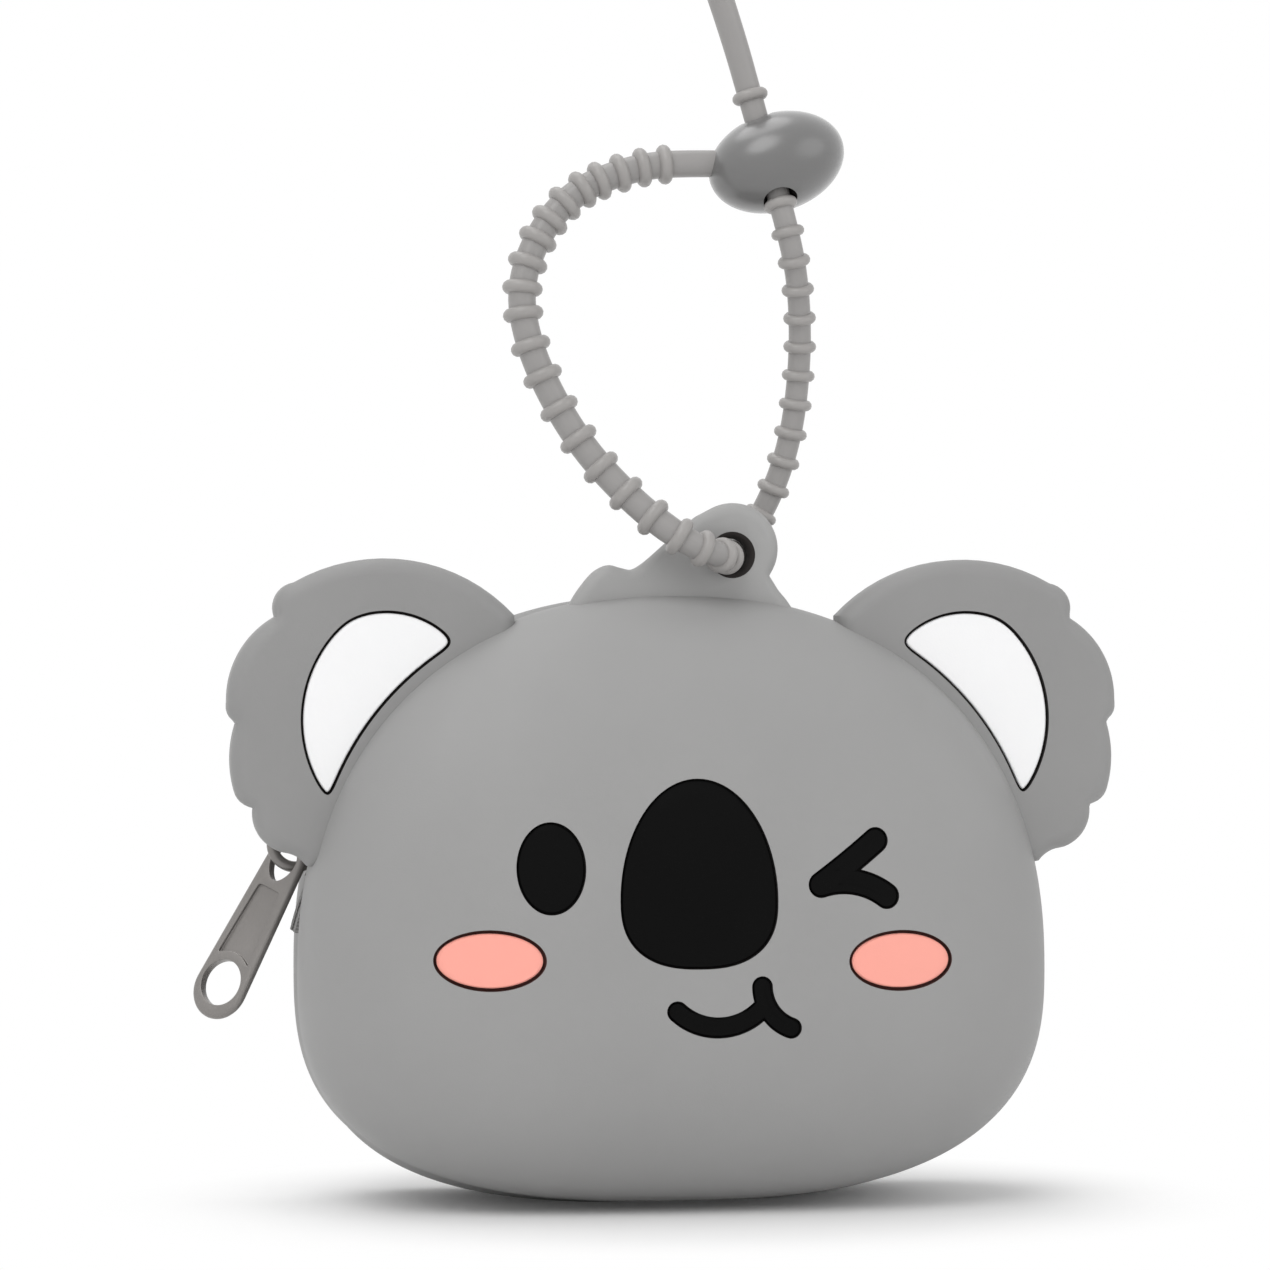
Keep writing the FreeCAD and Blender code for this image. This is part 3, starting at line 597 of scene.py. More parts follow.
def shade(mesh: bpy.types.Mesh, crease_degrees: float) -> None:
    """Shades a mesh smooth but for its creases.

    Args:
        mesh: The mesh.
        crease_degrees: From which angle an edge is a crease.
    """
    mesh.polygons.foreach_set("use_smooth", [True] * len(mesh.polygons))
    mesh.set_sharp_from_angle(angle=math.radians(crease_degrees))
    mesh.update()


def link(name: str, data: bpy.types.ID) -> Piece:
    """Puts a mesh or a curve in the scene as an object at the origin.

    Args:
        name: The object's name.
        data: The mesh or the curve.

    Returns:
        The object.
    """
    made = bpy.data.objects.new(name, data)
    bpy.context.scene.collection.objects.link(made)
    return made


def flat_copy(source: Piece) -> bpy.types.Mesh:
    """The evaluated object as a plain mesh."""
    return bpy.data.meshes.new_from_object(source.evaluated_get(bpy.context.evaluated_depsgraph_get()))


def carve(target: Piece, steps: Sequence[tuple[Joining, Sequence[Piece]]], crease: float) -> None:
    """Adds closed meshes to a closed mesh or takes them from it, and removes them.

    Args:
        target: The mesh that changes.
        steps: What is done, in order, with which meshes.
        crease: Edges that turn by more degrees than this stay sharp.
    """
    used = []
    for joining, others in steps:
        for other in others:
            modifier = target.modifiers.new(other.name, "BOOLEAN")
            modifier.operation, modifier.solver, modifier.object = joining.value, "EXACT", other
            modifier.material_mode = "TRANSFER"
            used.append(other)
    target.data = flat_copy(target)
    target.modifiers.clear()
    for other in used:
        bpy.data.objects.remove(other)
    made = bmesh.new()
    made.from_mesh(target.data)
    bmesh.ops.remove_doubles(made, verts=made.verts, dist=MM * SLIVER)
    bmesh.ops.dissolve_degenerate(made, edges=made.edges, dist=MM * SLIVER)
    made.to_mesh(target.data)
    made.free()
    shade(target.data, crease)


def place_piece(piece: Piece, body: str, slot: str, *nodes: str) -> None:
    """Lets a piece ride on a body and logs it.

    Args:
        piece: The piece.
        body: The body that it moves with.
        slot: Not used.
        nodes: The CAD nodes that it stands for.
    """
    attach(piece, body)
    if nodes:
        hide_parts(*nodes)
    LOG.info("%s rides on %s and stands for %s", piece.name, body, ", ".join(nodes) or "itself")


def circle(count: int) -> np.ndarray:
    """Even points round a circle of radius 1."""
    turn = np.linspace(0, FULL_TURN, count, endpoint=False)
    return np.stack([np.cos(turn), np.sin(turn)], 1)


def cos_sin(degrees: float) -> Pair:
    """The cosine and the sine of an angle in degrees."""
    return math.cos(math.radians(degrees)), math.sin(math.radians(degrees))


def squared(wave: np.ndarray, exponent: float | np.ndarray) -> np.ndarray:
    """A sine or cosine raised to an exponent with its sign kept, which fills a circle's corners."""
    return np.sign(wave) * np.abs(wave) ** exponent


def arc_through(start: Pair, via: Pair, end: Pair, steps: int) -> np.ndarray:
    """The arc through three points of a plane.

    Args:
        start: Its first point.
        via: A point on the way.
        end: Its last point.
        steps: How many stretches it has.

    Returns:
        Its points from the first to the last.
    """
    (ax, az), (bx, bz), (cx, cz) = start, via, end
    double = 2 * (ax * (bz - cz) + bx * (cz - az) + cx * (az - bz))
    a, b, c = ax * ax + az * az, bx * bx + bz * bz, cx * cx + cz * cz
    ux = (a * (bz - cz) + b * (cz - az) + c * (az - bz)) / double
    uz = (a * (cx - bx) + b * (ax - cx) + c * (bx - ax)) / double
    turns = [math.atan2(z - uz, x - ux) for x, z in (start, via, end)]
    sweep = (turns[2] - turns[0]) % FULL_TURN
    if (turns[1] - turns[0]) % FULL_TURN > sweep:
        sweep -= FULL_TURN
    angles = turns[0] + sweep * np.linspace(0, 1, steps + 1)
    radius = math.hypot(ax - ux, az - uz)
    return np.stack([ux + radius * np.cos(angles), uz + radius * np.sin(angles)], 1)


def chain_of_arcs(start: Pair, stretches: Sequence[tuple[Pair, Pair]], steps: int) -> np.ndarray:
    """Arcs one after another, each to its end through a point on the way.

    Args:
        start: The first arc's first point.
        stretches: Each arc's point on the way and its end.
        steps: How many stretches each arc has.

    Returns:
        The points from the first to the last.
    """
    rows = []
    for via, end in stretches:
        rows.append(arc_through(start, via, end, steps)[:-1])
        start = end
    return np.concatenate([*rows, [start]])


def smooth_line(points: Sequence[Pair], steps: int) -> np.ndarray:
    """A smooth open line through all its points.

    Args:
        points: What it passes through.
        steps: How many stretches lie between two of them.

    Returns:
        Its points.
    """
    p = np.array([points[0], *points, points[-1]], float)
    rows = []
    for a, b, c, d in zip(p, p[1:], p[2:], p[3:]):
        t = np.linspace(0, 1, steps, endpoint=False)[:, None]
        bent = (2 * a - 5 * b + 4 * c - d) * t**2 + (3 * b - a - 3 * c + d) * t**3
        rows.append(0.5 * (2 * b + (c - a) * t + bent))
    return np.concatenate([*rows, [p[-1]]])


def evened(outline: np.ndarray, spacing: float, closed: bool = True, least: int = 8) -> np.ndarray:
    """The same outline with its points at even distances.

    Args:
        outline: Points of the outline.
        spacing: The distance to come near to.
        closed: Whether the outline returns to its first point.
        least: How many points it has at least.

    Returns:
        The new points.
    """
    points = np.concatenate([outline, outline[:1]]) if closed else outline
    run = np.concatenate([[0], np.cumsum(np.linalg.norm(np.diff(points, axis=0), axis=1))])
    count = max(least, round(run[-1] / spacing))
    at = np.linspace(0, run[-1], count, endpoint=not closed)
    return np.stack([np.interp(at, run, points[:, k]) for k in range(points.shape[1])], 1)


def counterclockwise(outline: np.ndarray) -> np.ndarray:
    """The outline in the sense in which its inside lies on the left.

    Args:
        outline: Points of a plane.

    Returns:
        The same points, turned round if need be.
    """
    x, z = outline[:, 0], outline[:, 1]
    area = np.sum(x * np.roll(z, -1) - z * np.roll(x, -1))
    return outline if area > 0 else outline[::-1]


def eased(points: np.ndarray) -> np.ndarray:
    """A ring of points, each drawn towards its two neighbours."""
    return (np.roll(points, 1, 0) + 2 * points + np.roll(points, -1, 0)) / 4


def drawn_in(outline: np.ndarray, inset: float, passes: int) -> np.ndarray:
    """A counterclockwise outline moved inwards, with its corners eased.

    Args:
        outline: Its points.
        inset: How far it is moved.
        passes: How often its points are eased, so that it doesn't cross itself.

    Returns:
        The new points, as many as before.
    """
    along = np.roll(outline, -1, 0) - np.roll(outline, 1, 0)
    inward = np.stack([-along[:, 1], along[:, 0]], 1)
    inward /= np.linalg.norm(inward, axis=1)[:, None]
    for _ in range(passes):
        inward = eased(inward)
    moved = outline + inward * inset
    for _ in range(passes):
        moved = eased(moved)
    return moved


def upright(outline: np.ndarray, y: float | np.ndarray) -> np.ndarray:
    """An outline of the XZ plane as points at a depth."""
    return np.stack([outline[:, 0], np.broadcast_to(y, len(outline)), outline[:, 1]], 1)


def pillow(
    outline: np.ndarray, front_y: float, back_y: float, edge: float, steps: int = 6, passes: int = 8
) -> Draft:
    """A plate of an outline with rounded edges.

    Args:
        outline: The plate's outline in the XZ plane.
        front_y: Where its front lies.
        back_y: Where its back lies.
        edge: The radius of its edges.
        steps: How many rows round an edge.
        passes: How often the innermost row's points are eased.

    Returns:
        The closed plate.
    """
    outline = counterclockwise(outline)
    turns = [math.pi / 2 * k / steps for k in range(steps + 1)]
    rows = [(edge * (1 - math.sin(t)), front_y + edge * (1 - math.cos(t))) for t in turns]
    rows += [(inset, back_y - (y - front_y)) for inset, y in reversed(rows)]
    drawn = [(drawn_in(outline, inset, round(passes * inset / edge)), y) for inset, y in rows]
    return Draft().capped([upright(row, y) for row, y in drawn])


def block(low: Sequence[float], high: Sequence[float], name: str, finish: Finish) -> Piece:
    """A closed box between two corners, for cutting.

    Args:
        low: Its lowest corner.
        high: Its highest corner.
        name: The object's name.
        finish: Its finish.

    Returns:
        The object.
    """
    ring = [(low[0], low[1]), (high[0], low[1]), (high[0], high[1]), (low[0], high[1])]
    rows = [np.array([(x, y, z) for x, y in ring]) for z in (low[2], high[2])]
    return Draft().capped(rows).piece(name, finish)


@dataclass(frozen=True)
class HalfForm:
    """The sizes in which the head's two halves differ."""

    half_width: float
    chin: float
    chin_exponent: float
    belly_y: float
    dome_depth: float
    dome_exponent: float


@dataclass(frozen=True)
class HeadForm:
    """The head's own form: outlines about its middle that swell from the rims and close in two domes."""

    front: HalfForm = HalfForm(
        half_width=46.2, chin=28.3, chin_exponent=2.65, belly_y=10.5, dome_depth=20.5, dome_exponent=2.3
    )
    back: HalfForm = HalfForm(
        half_width=45.2, chin=29.1, chin_exponent=2.9, belly_y=8.5, dome_depth=8.5, dome_exponent=2.6
    )
    middle_z: float = 29.0
    crown: float = 46.0
    crown_exponent: float = 2.25
    rim_radius: float = 45.0
    rim_chin: float = 29.1
    rim_chin_exponent: float = 2.9
    rim_depth: float = 6.0
    wall: float = 2.4
    gap_half: float = 4.0
    gap_foot_z: float = 32.6
    around: int = 288
    rim_rows: int = 7
    dome_rows: int = 46
    nearly_zero: float = 1e-9

    def of(self, half: Half) -> HalfForm:
        """One half's own sizes."""
        return self.front if half is Half.FRONT else self.back

    def outline(self, half: Half, share: float, swell: float, inset: float) -> np.ndarray:
        """The closed outline at one depth.

        Args:
            half: The half that it belongs to.
            share: Its size about the head's middle.
            swell: From 0 at the rims to 1 at the belly.
            inset: How far it is drawn in.

        Returns:
            Its points in the XZ plane, none of them below the floor.
        """
        own, waves = self.of(half), circle(self.around)
        waves[np.abs(waves) < self.nearly_zero] = 0
        c, s = waves.T
        up = 2 + (self.crown_exponent - 2) * swell
        down = self.rim_chin_exponent + (own.chin_exponent - self.rim_chin_exponent) * swell
        exponent = np.where(s >= 0, 2 / up, 2 / down)
        wide = self.rim_radius + (own.half_width - self.rim_radius) * swell - inset
        high = self.rim_radius + (self.crown - self.rim_radius) * swell - inset
        deep = self.rim_chin + (own.chin - self.rim_chin) * swell - inset
        x = share * wide * squared(c, exponent)
        z = self.middle_z + share * np.where(s >= 0, high, deep) * squared(s, exponent)
        return np.stack([x, np.maximum(z, 0.0)], 1)

    def rows(self, half: Half, inset: float, start_y: float) -> list[np.ndarray]:
        """One half's outlines from the zip's plane to near the middle of its dome.

        Args:
            half: The half of the head.
            inset: How far it is drawn in.
            start_y: How far from the zip's plane it starts.

        Returns:
            Rings of points.
        """
        own = self.of(half)
        depth, power = own.dome_depth - inset, 2 / own.dome_exponent
        places = [(start_y, 1.0, 0.0), (self.rim_depth / 2, 1.0, 0.0)]
        for t in np.linspace(0, 1, self.rim_rows):
            y = self.rim_depth + (own.belly_y - self.rim_depth) * t
            places.append((y, 1.0, math.sin(t * math.pi / 2)))
        for t in np.linspace(0, math.pi / 2, self.dome_rows)[1:-1]:
            places.append((own.belly_y + depth * math.sin(t) ** power, math.cos(t) ** power, 1.0))
        way = half.value
        return [upright(self.outline(half, share, swell, inset), way * y) for y, share, swell in places]

    def solid(self, half: Half, inset: float, start_y: float) -> Draft:
        """One half of the head as a closed form, drawn in by an inset.

        Args:
            half: The half of the head.
            inset: How far it is drawn in.
            start_y: How far from the zip's plane it starts.

        Returns:
            The draft of the form.
        """
        draft = Draft()
        loops = draft.skin(self.rows(half, inset, start_y))
        draft.cap(loops[0])
        tip_y = half.value * (self.of(half).belly_y + self.of(half).dome_depth - inset)
        draft.fan(loops[-1], np.array([0.0, tip_y, self.middle_z]))
        return draft

    def face_y(self, points: np.ndarray, inset: float | np.ndarray) -> np.ndarray:
        """Where the front's surface, drawn in by an inset, lies at points of the XZ plane.

        Args:
            points: Points of the XZ plane.
            inset: How far the surface is drawn in.

        Returns:
            Their depths.
        """
        x, z = np.abs(points[:, 0]), points[:, 1] - self.middle_z
        exponent = np.where(z >= 0, self.crown_exponent, self.front.chin_exponent)
        tall = np.where(z >= 0, self.crown, self.front.chin) - inset
        wide = self.front.half_width - inset
        share = ((x / wide) ** exponent + (np.abs(z) / tall) ** exponent) ** (1 / exponent)
        dome = self.front.dome_exponent
        depth = (1 - np.minimum(share, 1.0) ** dome) ** (1 / dome)
        return -(self.front.belly_y + (self.front.dome_depth - inset) * depth)

    def gap_block(self) -> Piece:
        """The slot that the zip closes, as a cutter.

        Returns:
            The object.
        """
        reach, gap = 2 * self.front.half_width, self.gap_half
        low, high = (-reach, -gap, self.gap_foot_z), (reach, gap, 2 * reach)
        return block(low, high, "zip_gap", SHELL_GREY)


HEAD = HeadForm()


@dataclass
class EarForm:
    """The right ear's outline of lobes and its inlay, as shares of the ear's box."""

    root_x: float = 20.0
    foot_z: float = 42.0
    width: float = 35.1
    height: float = 37.3
    front_y: float = -15.0
    thickness: float = 6.5
    edge: float = 2.0
    pocket_depth: float = 1.2
    inlay_recess: float = 0.18
    inlay_fit: float = 0.32
    inlay_edge: float = 0.25
    inlay_crease: float = 10.0
    start_share: Pair = (0.0, 0.815)
    lobe_shares: Sequence[tuple[Pair, Pair]] = (
        ((0.444, 1.0), (0.761, 0.922)),
        ((0.823, 0.882), (0.829, 0.810)),
        ((0.969, 0.660), (0.994, 0.531)),
        ((0.989, 0.493), (0.963, 0.468)),
        ((0.983, 0.359), (0.966, 0.239)),
        ((0.946, 0.209), (0.903, 0.190)),
        ((0.880, 0.097), (0.806, 0.046)),
        ((0.755, 0.032), (0.718, 0.0)),
    )
    root_shares: Sequence[Pair] = ((0.45, 0.0), (0.0, 0.5))
    inlay_start_share: Pair = (0.204, 0.724)
    inlay_shares: Sequence[tuple[Pair, Pair]] = (
        ((0.358, 0.820), (0.584, 0.804)),
        ((0.739, 0.558), (0.648, 0.208)),
        ((0.462, 0.520), (0.204, 0.724)),
    )
    inlay_spacing: float = 0.25
    inlay_edge_rows: int = 3
    corner_passes: int = 60
    spacing: float = 0.55
    lobe_steps: int = 16
    inlay_steps: int = 20

    def at(self, share: Pair, side: float) -> Pair:
        """A point of the outline on the right (side 1) or the left (side -1)."""
        return side * (self.root_x + share[0] * self.width), self.foot_z + share[1] * self.height

    def outline(self, side: float) -> np.ndarray:
        """The whole ear's outline, with its root inside the head.

        Args:
            side: 1 on the right, -1 on the left.

        Returns:
            Its points in the XZ plane.
        """
        stretches = [(self.at(a, side), self.at(b, side)) for a, b in self.lobe_shares]
        lobes = chain_of_arcs(self.at(self.start_share, side), stretches, self.lobe_steps)
        root = np.array([self.at(s, side) for s in self.root_shares])
        return evened(np.concatenate([lobes, root]), self.spacing)

    def inlay_outline(self, side: float) -> np.ndarray:
        """The inlay's pocket in the ear's face, with round corners.

        Args:
            side: 1 on the right, -1 on the left.

        Returns:
            Its points in the XZ plane.
        """
        stretches = [(self.at(a, side), self.at(b, side)) for a, b in self.inlay_shares]
        sharp = chain_of_arcs(self.at(self.inlay_start_share, side), stretches, self.inlay_steps)[:-1]
        return drawn_in(counterclockwise(evened(sharp, self.inlay_spacing)), 0.0, self.corner_passes)

    def plate(self, side: float) -> Piece:
        """The ear as a closed plate with soft edges."""
        draft = pillow(self.outline(side), self.front_y, self.front_y + self.thickness, self.edge)
        # The ears' darker grey is painted shade; the ears are the shell's own silicone.
        return draft.piece("ear_plate", EAR_SHADED_GREY)

    def pocket(self, side: float) -> Piece:
        """The cutter of the inlay's pocket.

        Args:
            side: 1 on the right, -1 on the left.

        Returns:
            The object.
        """
        depths = (self.front_y - self.thickness, self.front_y + self.pocket_depth)
        rows = [upright(self.inlay_outline(side), y) for y in depths]
        # The pocket's walls take this dark colour: painted shade, the dark line round the white inlay.
        return Draft().capped(rows).piece("ear_pocket", RECESS_PAINTED_SHADE)

    def inlay(self, side: float, name: str) -> Piece:
        """The white inlay, a little below the ear's face and with eased edges.

        Args:
            side: 1 on the right, -1 on the left.
            name: The object's name.

        Returns:
            The object.
        """
        shape = drawn_in(self.inlay_outline(side), self.inlay_fit, 1)
        front, back = self.front_y + self.inlay_recess, self.front_y + self.pocket_depth
        draft = pillow(shape, front, back, self.inlay_edge, self.inlay_edge_rows)
        return draft.piece(name, INLAY_WHITE, self.inlay_crease)


EAR = EarForm()


@dataclass
class InlayForm:
    """One face inlay: closed rows of points from its edge to its middle, or strokes."""

    name: str
    slot: str
    finish: Finish
    # The colour of the pocket's walls: painted shade in the groove round the inlay.
    groove: Finish
    fit: float
    recess: float = 0.16
    ease: float = 0.16
    floor: float = 1.08
    pocket_floor: float = 1.1
    far_y: float = -40.0
    crease: float = 35.0

    def lumps(self, fit: float) -> list[list[np.ndarray]]:
        """The rows of each lump of the inlay, from outside to inside, drawn in by a fit."""
        raise NotImplementedError

    def build(self, recess: float, floor: float, fit: float, cutter: bool) -> list[Piece]:
        """Makes the inlay's lumps, or their cutters, as closed meshes.

        Args:
            recess: How far the top lies below the front's surface.
            floor: How far the underside does.
            fit: How far the edge is drawn in.
            cutter: Whether the top lies far in front instead, for cutting.

        Returns:
            One mesh for each lump.
        """
        made = []
        for number, rows in enumerate(self.lumps(fit)):
            draft, tops, floors = Draft(), [], []
            for k, row in enumerate(rows):
                sink = recess + (0.0 if k else self.ease)
                tops.append(upright(row, self.far_y if cutter else HEAD.face_y(row, sink)))
                floors.append(upright(row, HEAD.face_y(row, floor)))
            upper, lower = draft.skin(tops), draft.skin(floors)
            draft.bridge(upper[0], lower[0])
            for loops, rows_made in ((upper, tops), (lower, floors)):
                draft.fan(loops[-1], rows_made[-1].mean(0))
            # A cutter's colour goes onto the pocket's walls: painted shade in the groove round the inlay.
            finish = self.groove if cutter else self.finish
            made.append(draft.piece(f"{self.name}_{number}", finish))
        return made

    def cutters(self) -> list[Piece]:
        """What sinks the pocket in the front moulding."""
        return self.build(0.0, self.pocket_floor, 0.0, True)

    def piece(self) -> Piece:
        """The inlay itself, its lumps joined.

        Returns:
            The object.
        """
        first, *others = self.build(self.recess, self.floor, self.fit, False)
        if others:
            carve(first, [(Joining.ADD, others)], self.crease)
        first.name = first.data.name = self.name
        return first


@dataclass
class RoundInlay(InlayForm):
    """An ellipse or an egg on its broad end."""

    centre: Pair = (0.0, 0.0)
    width: float = 1.0
    height: float = 1.0
    waist_share: float = 0.5
    foot_exponent: float = 2.0
    around: int = 96
    ring_shares: Sequence[float] = (0.85, 0.66, 0.45, 0.22)

    def lumps(self, fit: float) -> list[list[np.ndarray]]:
        """Rows of the same outline at smaller and smaller shares.

        Args:
            fit: How far the edge is drawn in.

        Returns:
            The rows of the one lump.
        """
        c, s = circle(self.around).T
        tall = self.height - 2 * fit
        low = self.waist_share * tall
        exponent = np.where(s >= 0, 1.0, 2 / self.foot_exponent)
        x = (self.width / 2 - fit) * squared(c, exponent)
        z = np.where(s >= 0, tall - low, low) * squared(s, exponent)
        foot = self.centre[1] - self.height / 2 + fit
        middle = np.array([self.centre[0], foot + low])
        edge = np.stack([x, z], 1)
        shrink = self.ease / (min(self.width, self.height) / 2)
        return [[middle + edge * share for share in (1.0, 1.0 - shrink, *self.ring_shares)]]


@dataclass
class StrokeInlay(InlayForm):
    """Brush strokes of one width with round ends, each along an arc through three points."""

    origin: Pair = (0.0, 0.0)
    width: float = 1.0
    height: float = 1.0
    half_width: float = 1.0
    stroke_shares: Sequence[Sequence[Pair]] = ()
    spacing: float = 0.3
    arc_steps: int = 40
    end_steps: int = 12
    ring_shares: Sequence[float] = (0.6, 0.3)

    def lumps(self, fit: float) -> list[list[np.ndarray]]:
        """Rows round each stroke, from its edge to its middle line.

        Args:
            fit: How far the edge is drawn in.

        Returns:
            The rows of each stroke.
        """
        made = []
        for shares in self.stroke_shares:
            three = np.array(self.origin) + np.array(shares) * (self.width, self.height)
            line = evened(arc_through(*three, self.arc_steps), self.spacing, closed=False)
            along = np.gradient(line, axis=0)
            along /= np.linalg.norm(along, axis=1)[:, None]
            side = np.stack([-along[:, 1], along[:, 0]], 1)
            rows = []
            turn = np.linspace(0, math.pi, self.end_steps + 1)[1:-1, None]
            for reach in (1.0, 1.0 - self.ease / self.half_width, *self.ring_shares):
                r = (self.half_width - fit) * reach
                caps = []
                for end, way in ((-1, 1.0), (0, -1.0)):
                    round_end = side[end] * np.cos(turn) + along[end] * np.sin(turn)
                    caps.append(line[end] + way * r * round_end)
                there, back = line + side * r, line[::-1] - side[::-1] * r
                rows.append(np.concatenate([there, caps[0], back, caps[1]]))
            made.append(rows)
        return made


def face_inlays() -> list[InlayForm]:
    """Every inlay of the winking face.

    Returns:
        Their forms.
    """
    # The groove colours are painted shade on the pockets' walls.
    black = {"slot": "black_inlay", "finish": INLAY_BLACK, "groove": RECESS_PAINTED_SHADE, "fit": 0.2}
    pink = {"slot": "pink_inlay", "finish": INLAY_PINK, "groove": CHEEK_GROOVE_PAINTED_SHADE, "fit": 0.42}
    pink |= {"width": 13.2, "height": 7.3}
    nose_height, nose_foot = 22.6, 30.3
    return [
        RoundInlay(
            "nose_inlay", centre=(0.0, nose_foot + nose_height / 2), width=19.0, height=nose_height,
            waist_share=0.36, foot_exponent=2.5, **black,
        ),
        RoundInlay("open_eye_inlay", centre=(-17.6, 42.3), width=8.2, height=11.0, **black),
        RoundInlay("left_cheek_inlay", centre=(-24.8, 31.4), **pink),
        RoundInlay("right_cheek_inlay", centre=(24.8, 31.0), **pink),
        StrokeInlay(
            "wink_inlay", origin=(14.8, 40.2), width=8.2, height=5.6, half_width=1.58, **black,
            stroke_shares=(
                ((0.0, 0.0), (0.43, 0.46), (0.84, 0.93)),
                ((0.0, 0.0), (0.55, 0.04), (1.0, -0.26)),
            ),
        ),
        StrokeInlay(
            "mouth_inlay", origin=(-2.7, 25.3), width=13.8, height=5.3, half_width=1.27, **black,
            stroke_shares=(
                ((0.0, 0.0), (0.34, -0.37), (0.73, 0.03)),
                ((0.74, 0.54), (0.79, 0.06), (1.0, -0.40)),
            ),
        ),
    ]


@dataclass
class StrapEye:
    """The round eye on the crown, its web and the bump beside it: one soft plate with a flared bore."""

    centre: Pair = (7.1, 80.6)
    radius: float = 5.6
    bore_centre: Pair = (6.8, 79.8)
    bore: float = 2.05
    flare: float = 0.8
    straight_share: float = 0.35
    cutter_reach: float = 1.3
    cutter_rows: int = 27
    front_y: float = -13.6
    thickness: float = 3.4
    edge: float = 1.5
    ring_turns: Pair = (116.0, -36.0)
    ring_steps: int = 40
    line_steps: int = 6
    spacing: float = 0.4
    foot_z: float = 69.0
    left_line: Sequence[Pair] = (
        (-13.5, 73.0), (-12.7, 74.6), (-11.5, 76.3), (-10.1, 77.8), (-8.4, 78.55), (-6.8, 78.2),
        (-5.5, 78.0), (-4.1, 78.8), (-2.5, 80.15), (0.0, 82.4), (2.4, 84.45),
    )
    right_line: Sequence[Pair] = ((12.1, 76.6), (12.8, 75.5), (13.8, 74.3), (14.8, 72.8))

    def outline(self) -> np.ndarray:
        """From the left foot over the bump and the ring to the right foot.

        Returns:
            Its points in the XZ plane.
        """
        turns = np.radians(np.linspace(*self.ring_turns, self.ring_steps))
        ring = np.array(self.centre) + self.radius * np.stack([np.cos(turns), np.sin(turns)], 1)
        left, right = (smooth_line(line, self.line_steps) for line in (self.left_line, self.right_line))
        foot = [(self.right_line[-1][0], self.foot_z), (self.left_line[0][0], self.foot_z)]
        return evened(np.concatenate([left, ring, right, foot]), self.spacing)

    def plate(self) -> Piece:
        """The plate without its bore."""
        draft = pillow(self.outline(), self.front_y, self.front_y + self.thickness, self.edge)
        # The eye's paler grey is painted light; the plate is the shell's own silicone.
        return draft.piece("strap_eye_plate", EYE_LIT_GREY)

    def bore_cutter(self) -> Piece:
        """A waisted bar whose ends flare, so that the bore's mouths are rounded.

        Returns:
            The object.
        """
        rows, straight = [], self.straight_share
        middle = self.front_y + self.thickness / 2
        for share in np.linspace(-self.cutter_reach, self.cutter_reach, self.cutter_rows):
            over = np.clip((abs(share) - straight) / (1 - straight), 0, 1)
            r = self.bore + self.flare * (1 - math.sqrt(1 - over**2))
            ring = np.array(self.bore_centre) + r * circle(BORE_SIDES)
            rows.append(upright(ring, middle + share * self.thickness / 2))
        # The bore's wall takes the dark colour: painted shade inside the eye's hole.
        return Draft().capped(rows).piece("strap_eye_bore", RECESS_PAINTED_SHADE)


EYE = StrapEye()


@dataclass
class FrontMoulding:
    """The front of the head with its ears, the strap's eye and the pockets of the face."""

    name: str = "front_moulding"
    crease: float = 32.0

    def build(self) -> Piece:
        """Joins the forms and sinks the pockets.

        Returns:
            The object.
        """
        shell = HEAD.solid(Half.FRONT, 0.0, 0.0).piece(self.name, SHELL_GREY)
        cavity = HEAD.solid(Half.FRONT, HEAD.wall, -OVERRUN).piece("front_cavity", SHELL_GREY)
        added = [EAR.plate(1.0), EAR.plate(-1.0), EYE.plate()]
        taken = [cavity, HEAD.gap_block(), EYE.bore_cutter(), EAR.pocket(1.0), EAR.pocket(-1.0)]
        for inlay in face_inlays():
            taken += inlay.cutters()
        carve(shell, [(Joining.ADD, added), (Joining.TAKE, taken)], self.crease)
        return shell

    def dress(self) -> None:
        """Places the moulding and every inlay."""
        place_piece(self.build(), "purse", "silicone", "front_shell")
        for inlay in face_inlays():
            place_piece(inlay.piece(), "purse", inlay.slot, inlay.name)
        for side, name in ((1.0, "right_ear_inlay"), (-1.0, "left_ear_inlay")):
            place_piece(EAR.inlay(side, name), "purse", "white_inlay", name)


@dataclass
class BackMoulding:
    """The back in one piece, in place of the CAD's base, fold and the flap that leans back."""

    name: str = "back_moulding"
    crease: float = 32.0
    bend_from: Triple = (0.0, 0.0, 24.0)
    bend_to: Triple = (0.0, 5.0, 33.0)

    def dress(self) -> None:
        """Hollows the back, opens its top for the zip and hides the CAD's back pieces."""
        shell = HEAD.solid(Half.BACK, 0.0, 0.0).piece(self.name, SHELL_GREY)
        cavity = HEAD.solid(Half.BACK, HEAD.wall, -OVERRUN).piece("back_cavity", SHELL_GREY)
        carve(shell, [(Joining.TAKE, [cavity, HEAD.gap_block()])], self.crease)
        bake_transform(shell)
        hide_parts("back_base", "back_fold", "back_flap")
        LOG.info("%s bends between purse and flap", shell.name)


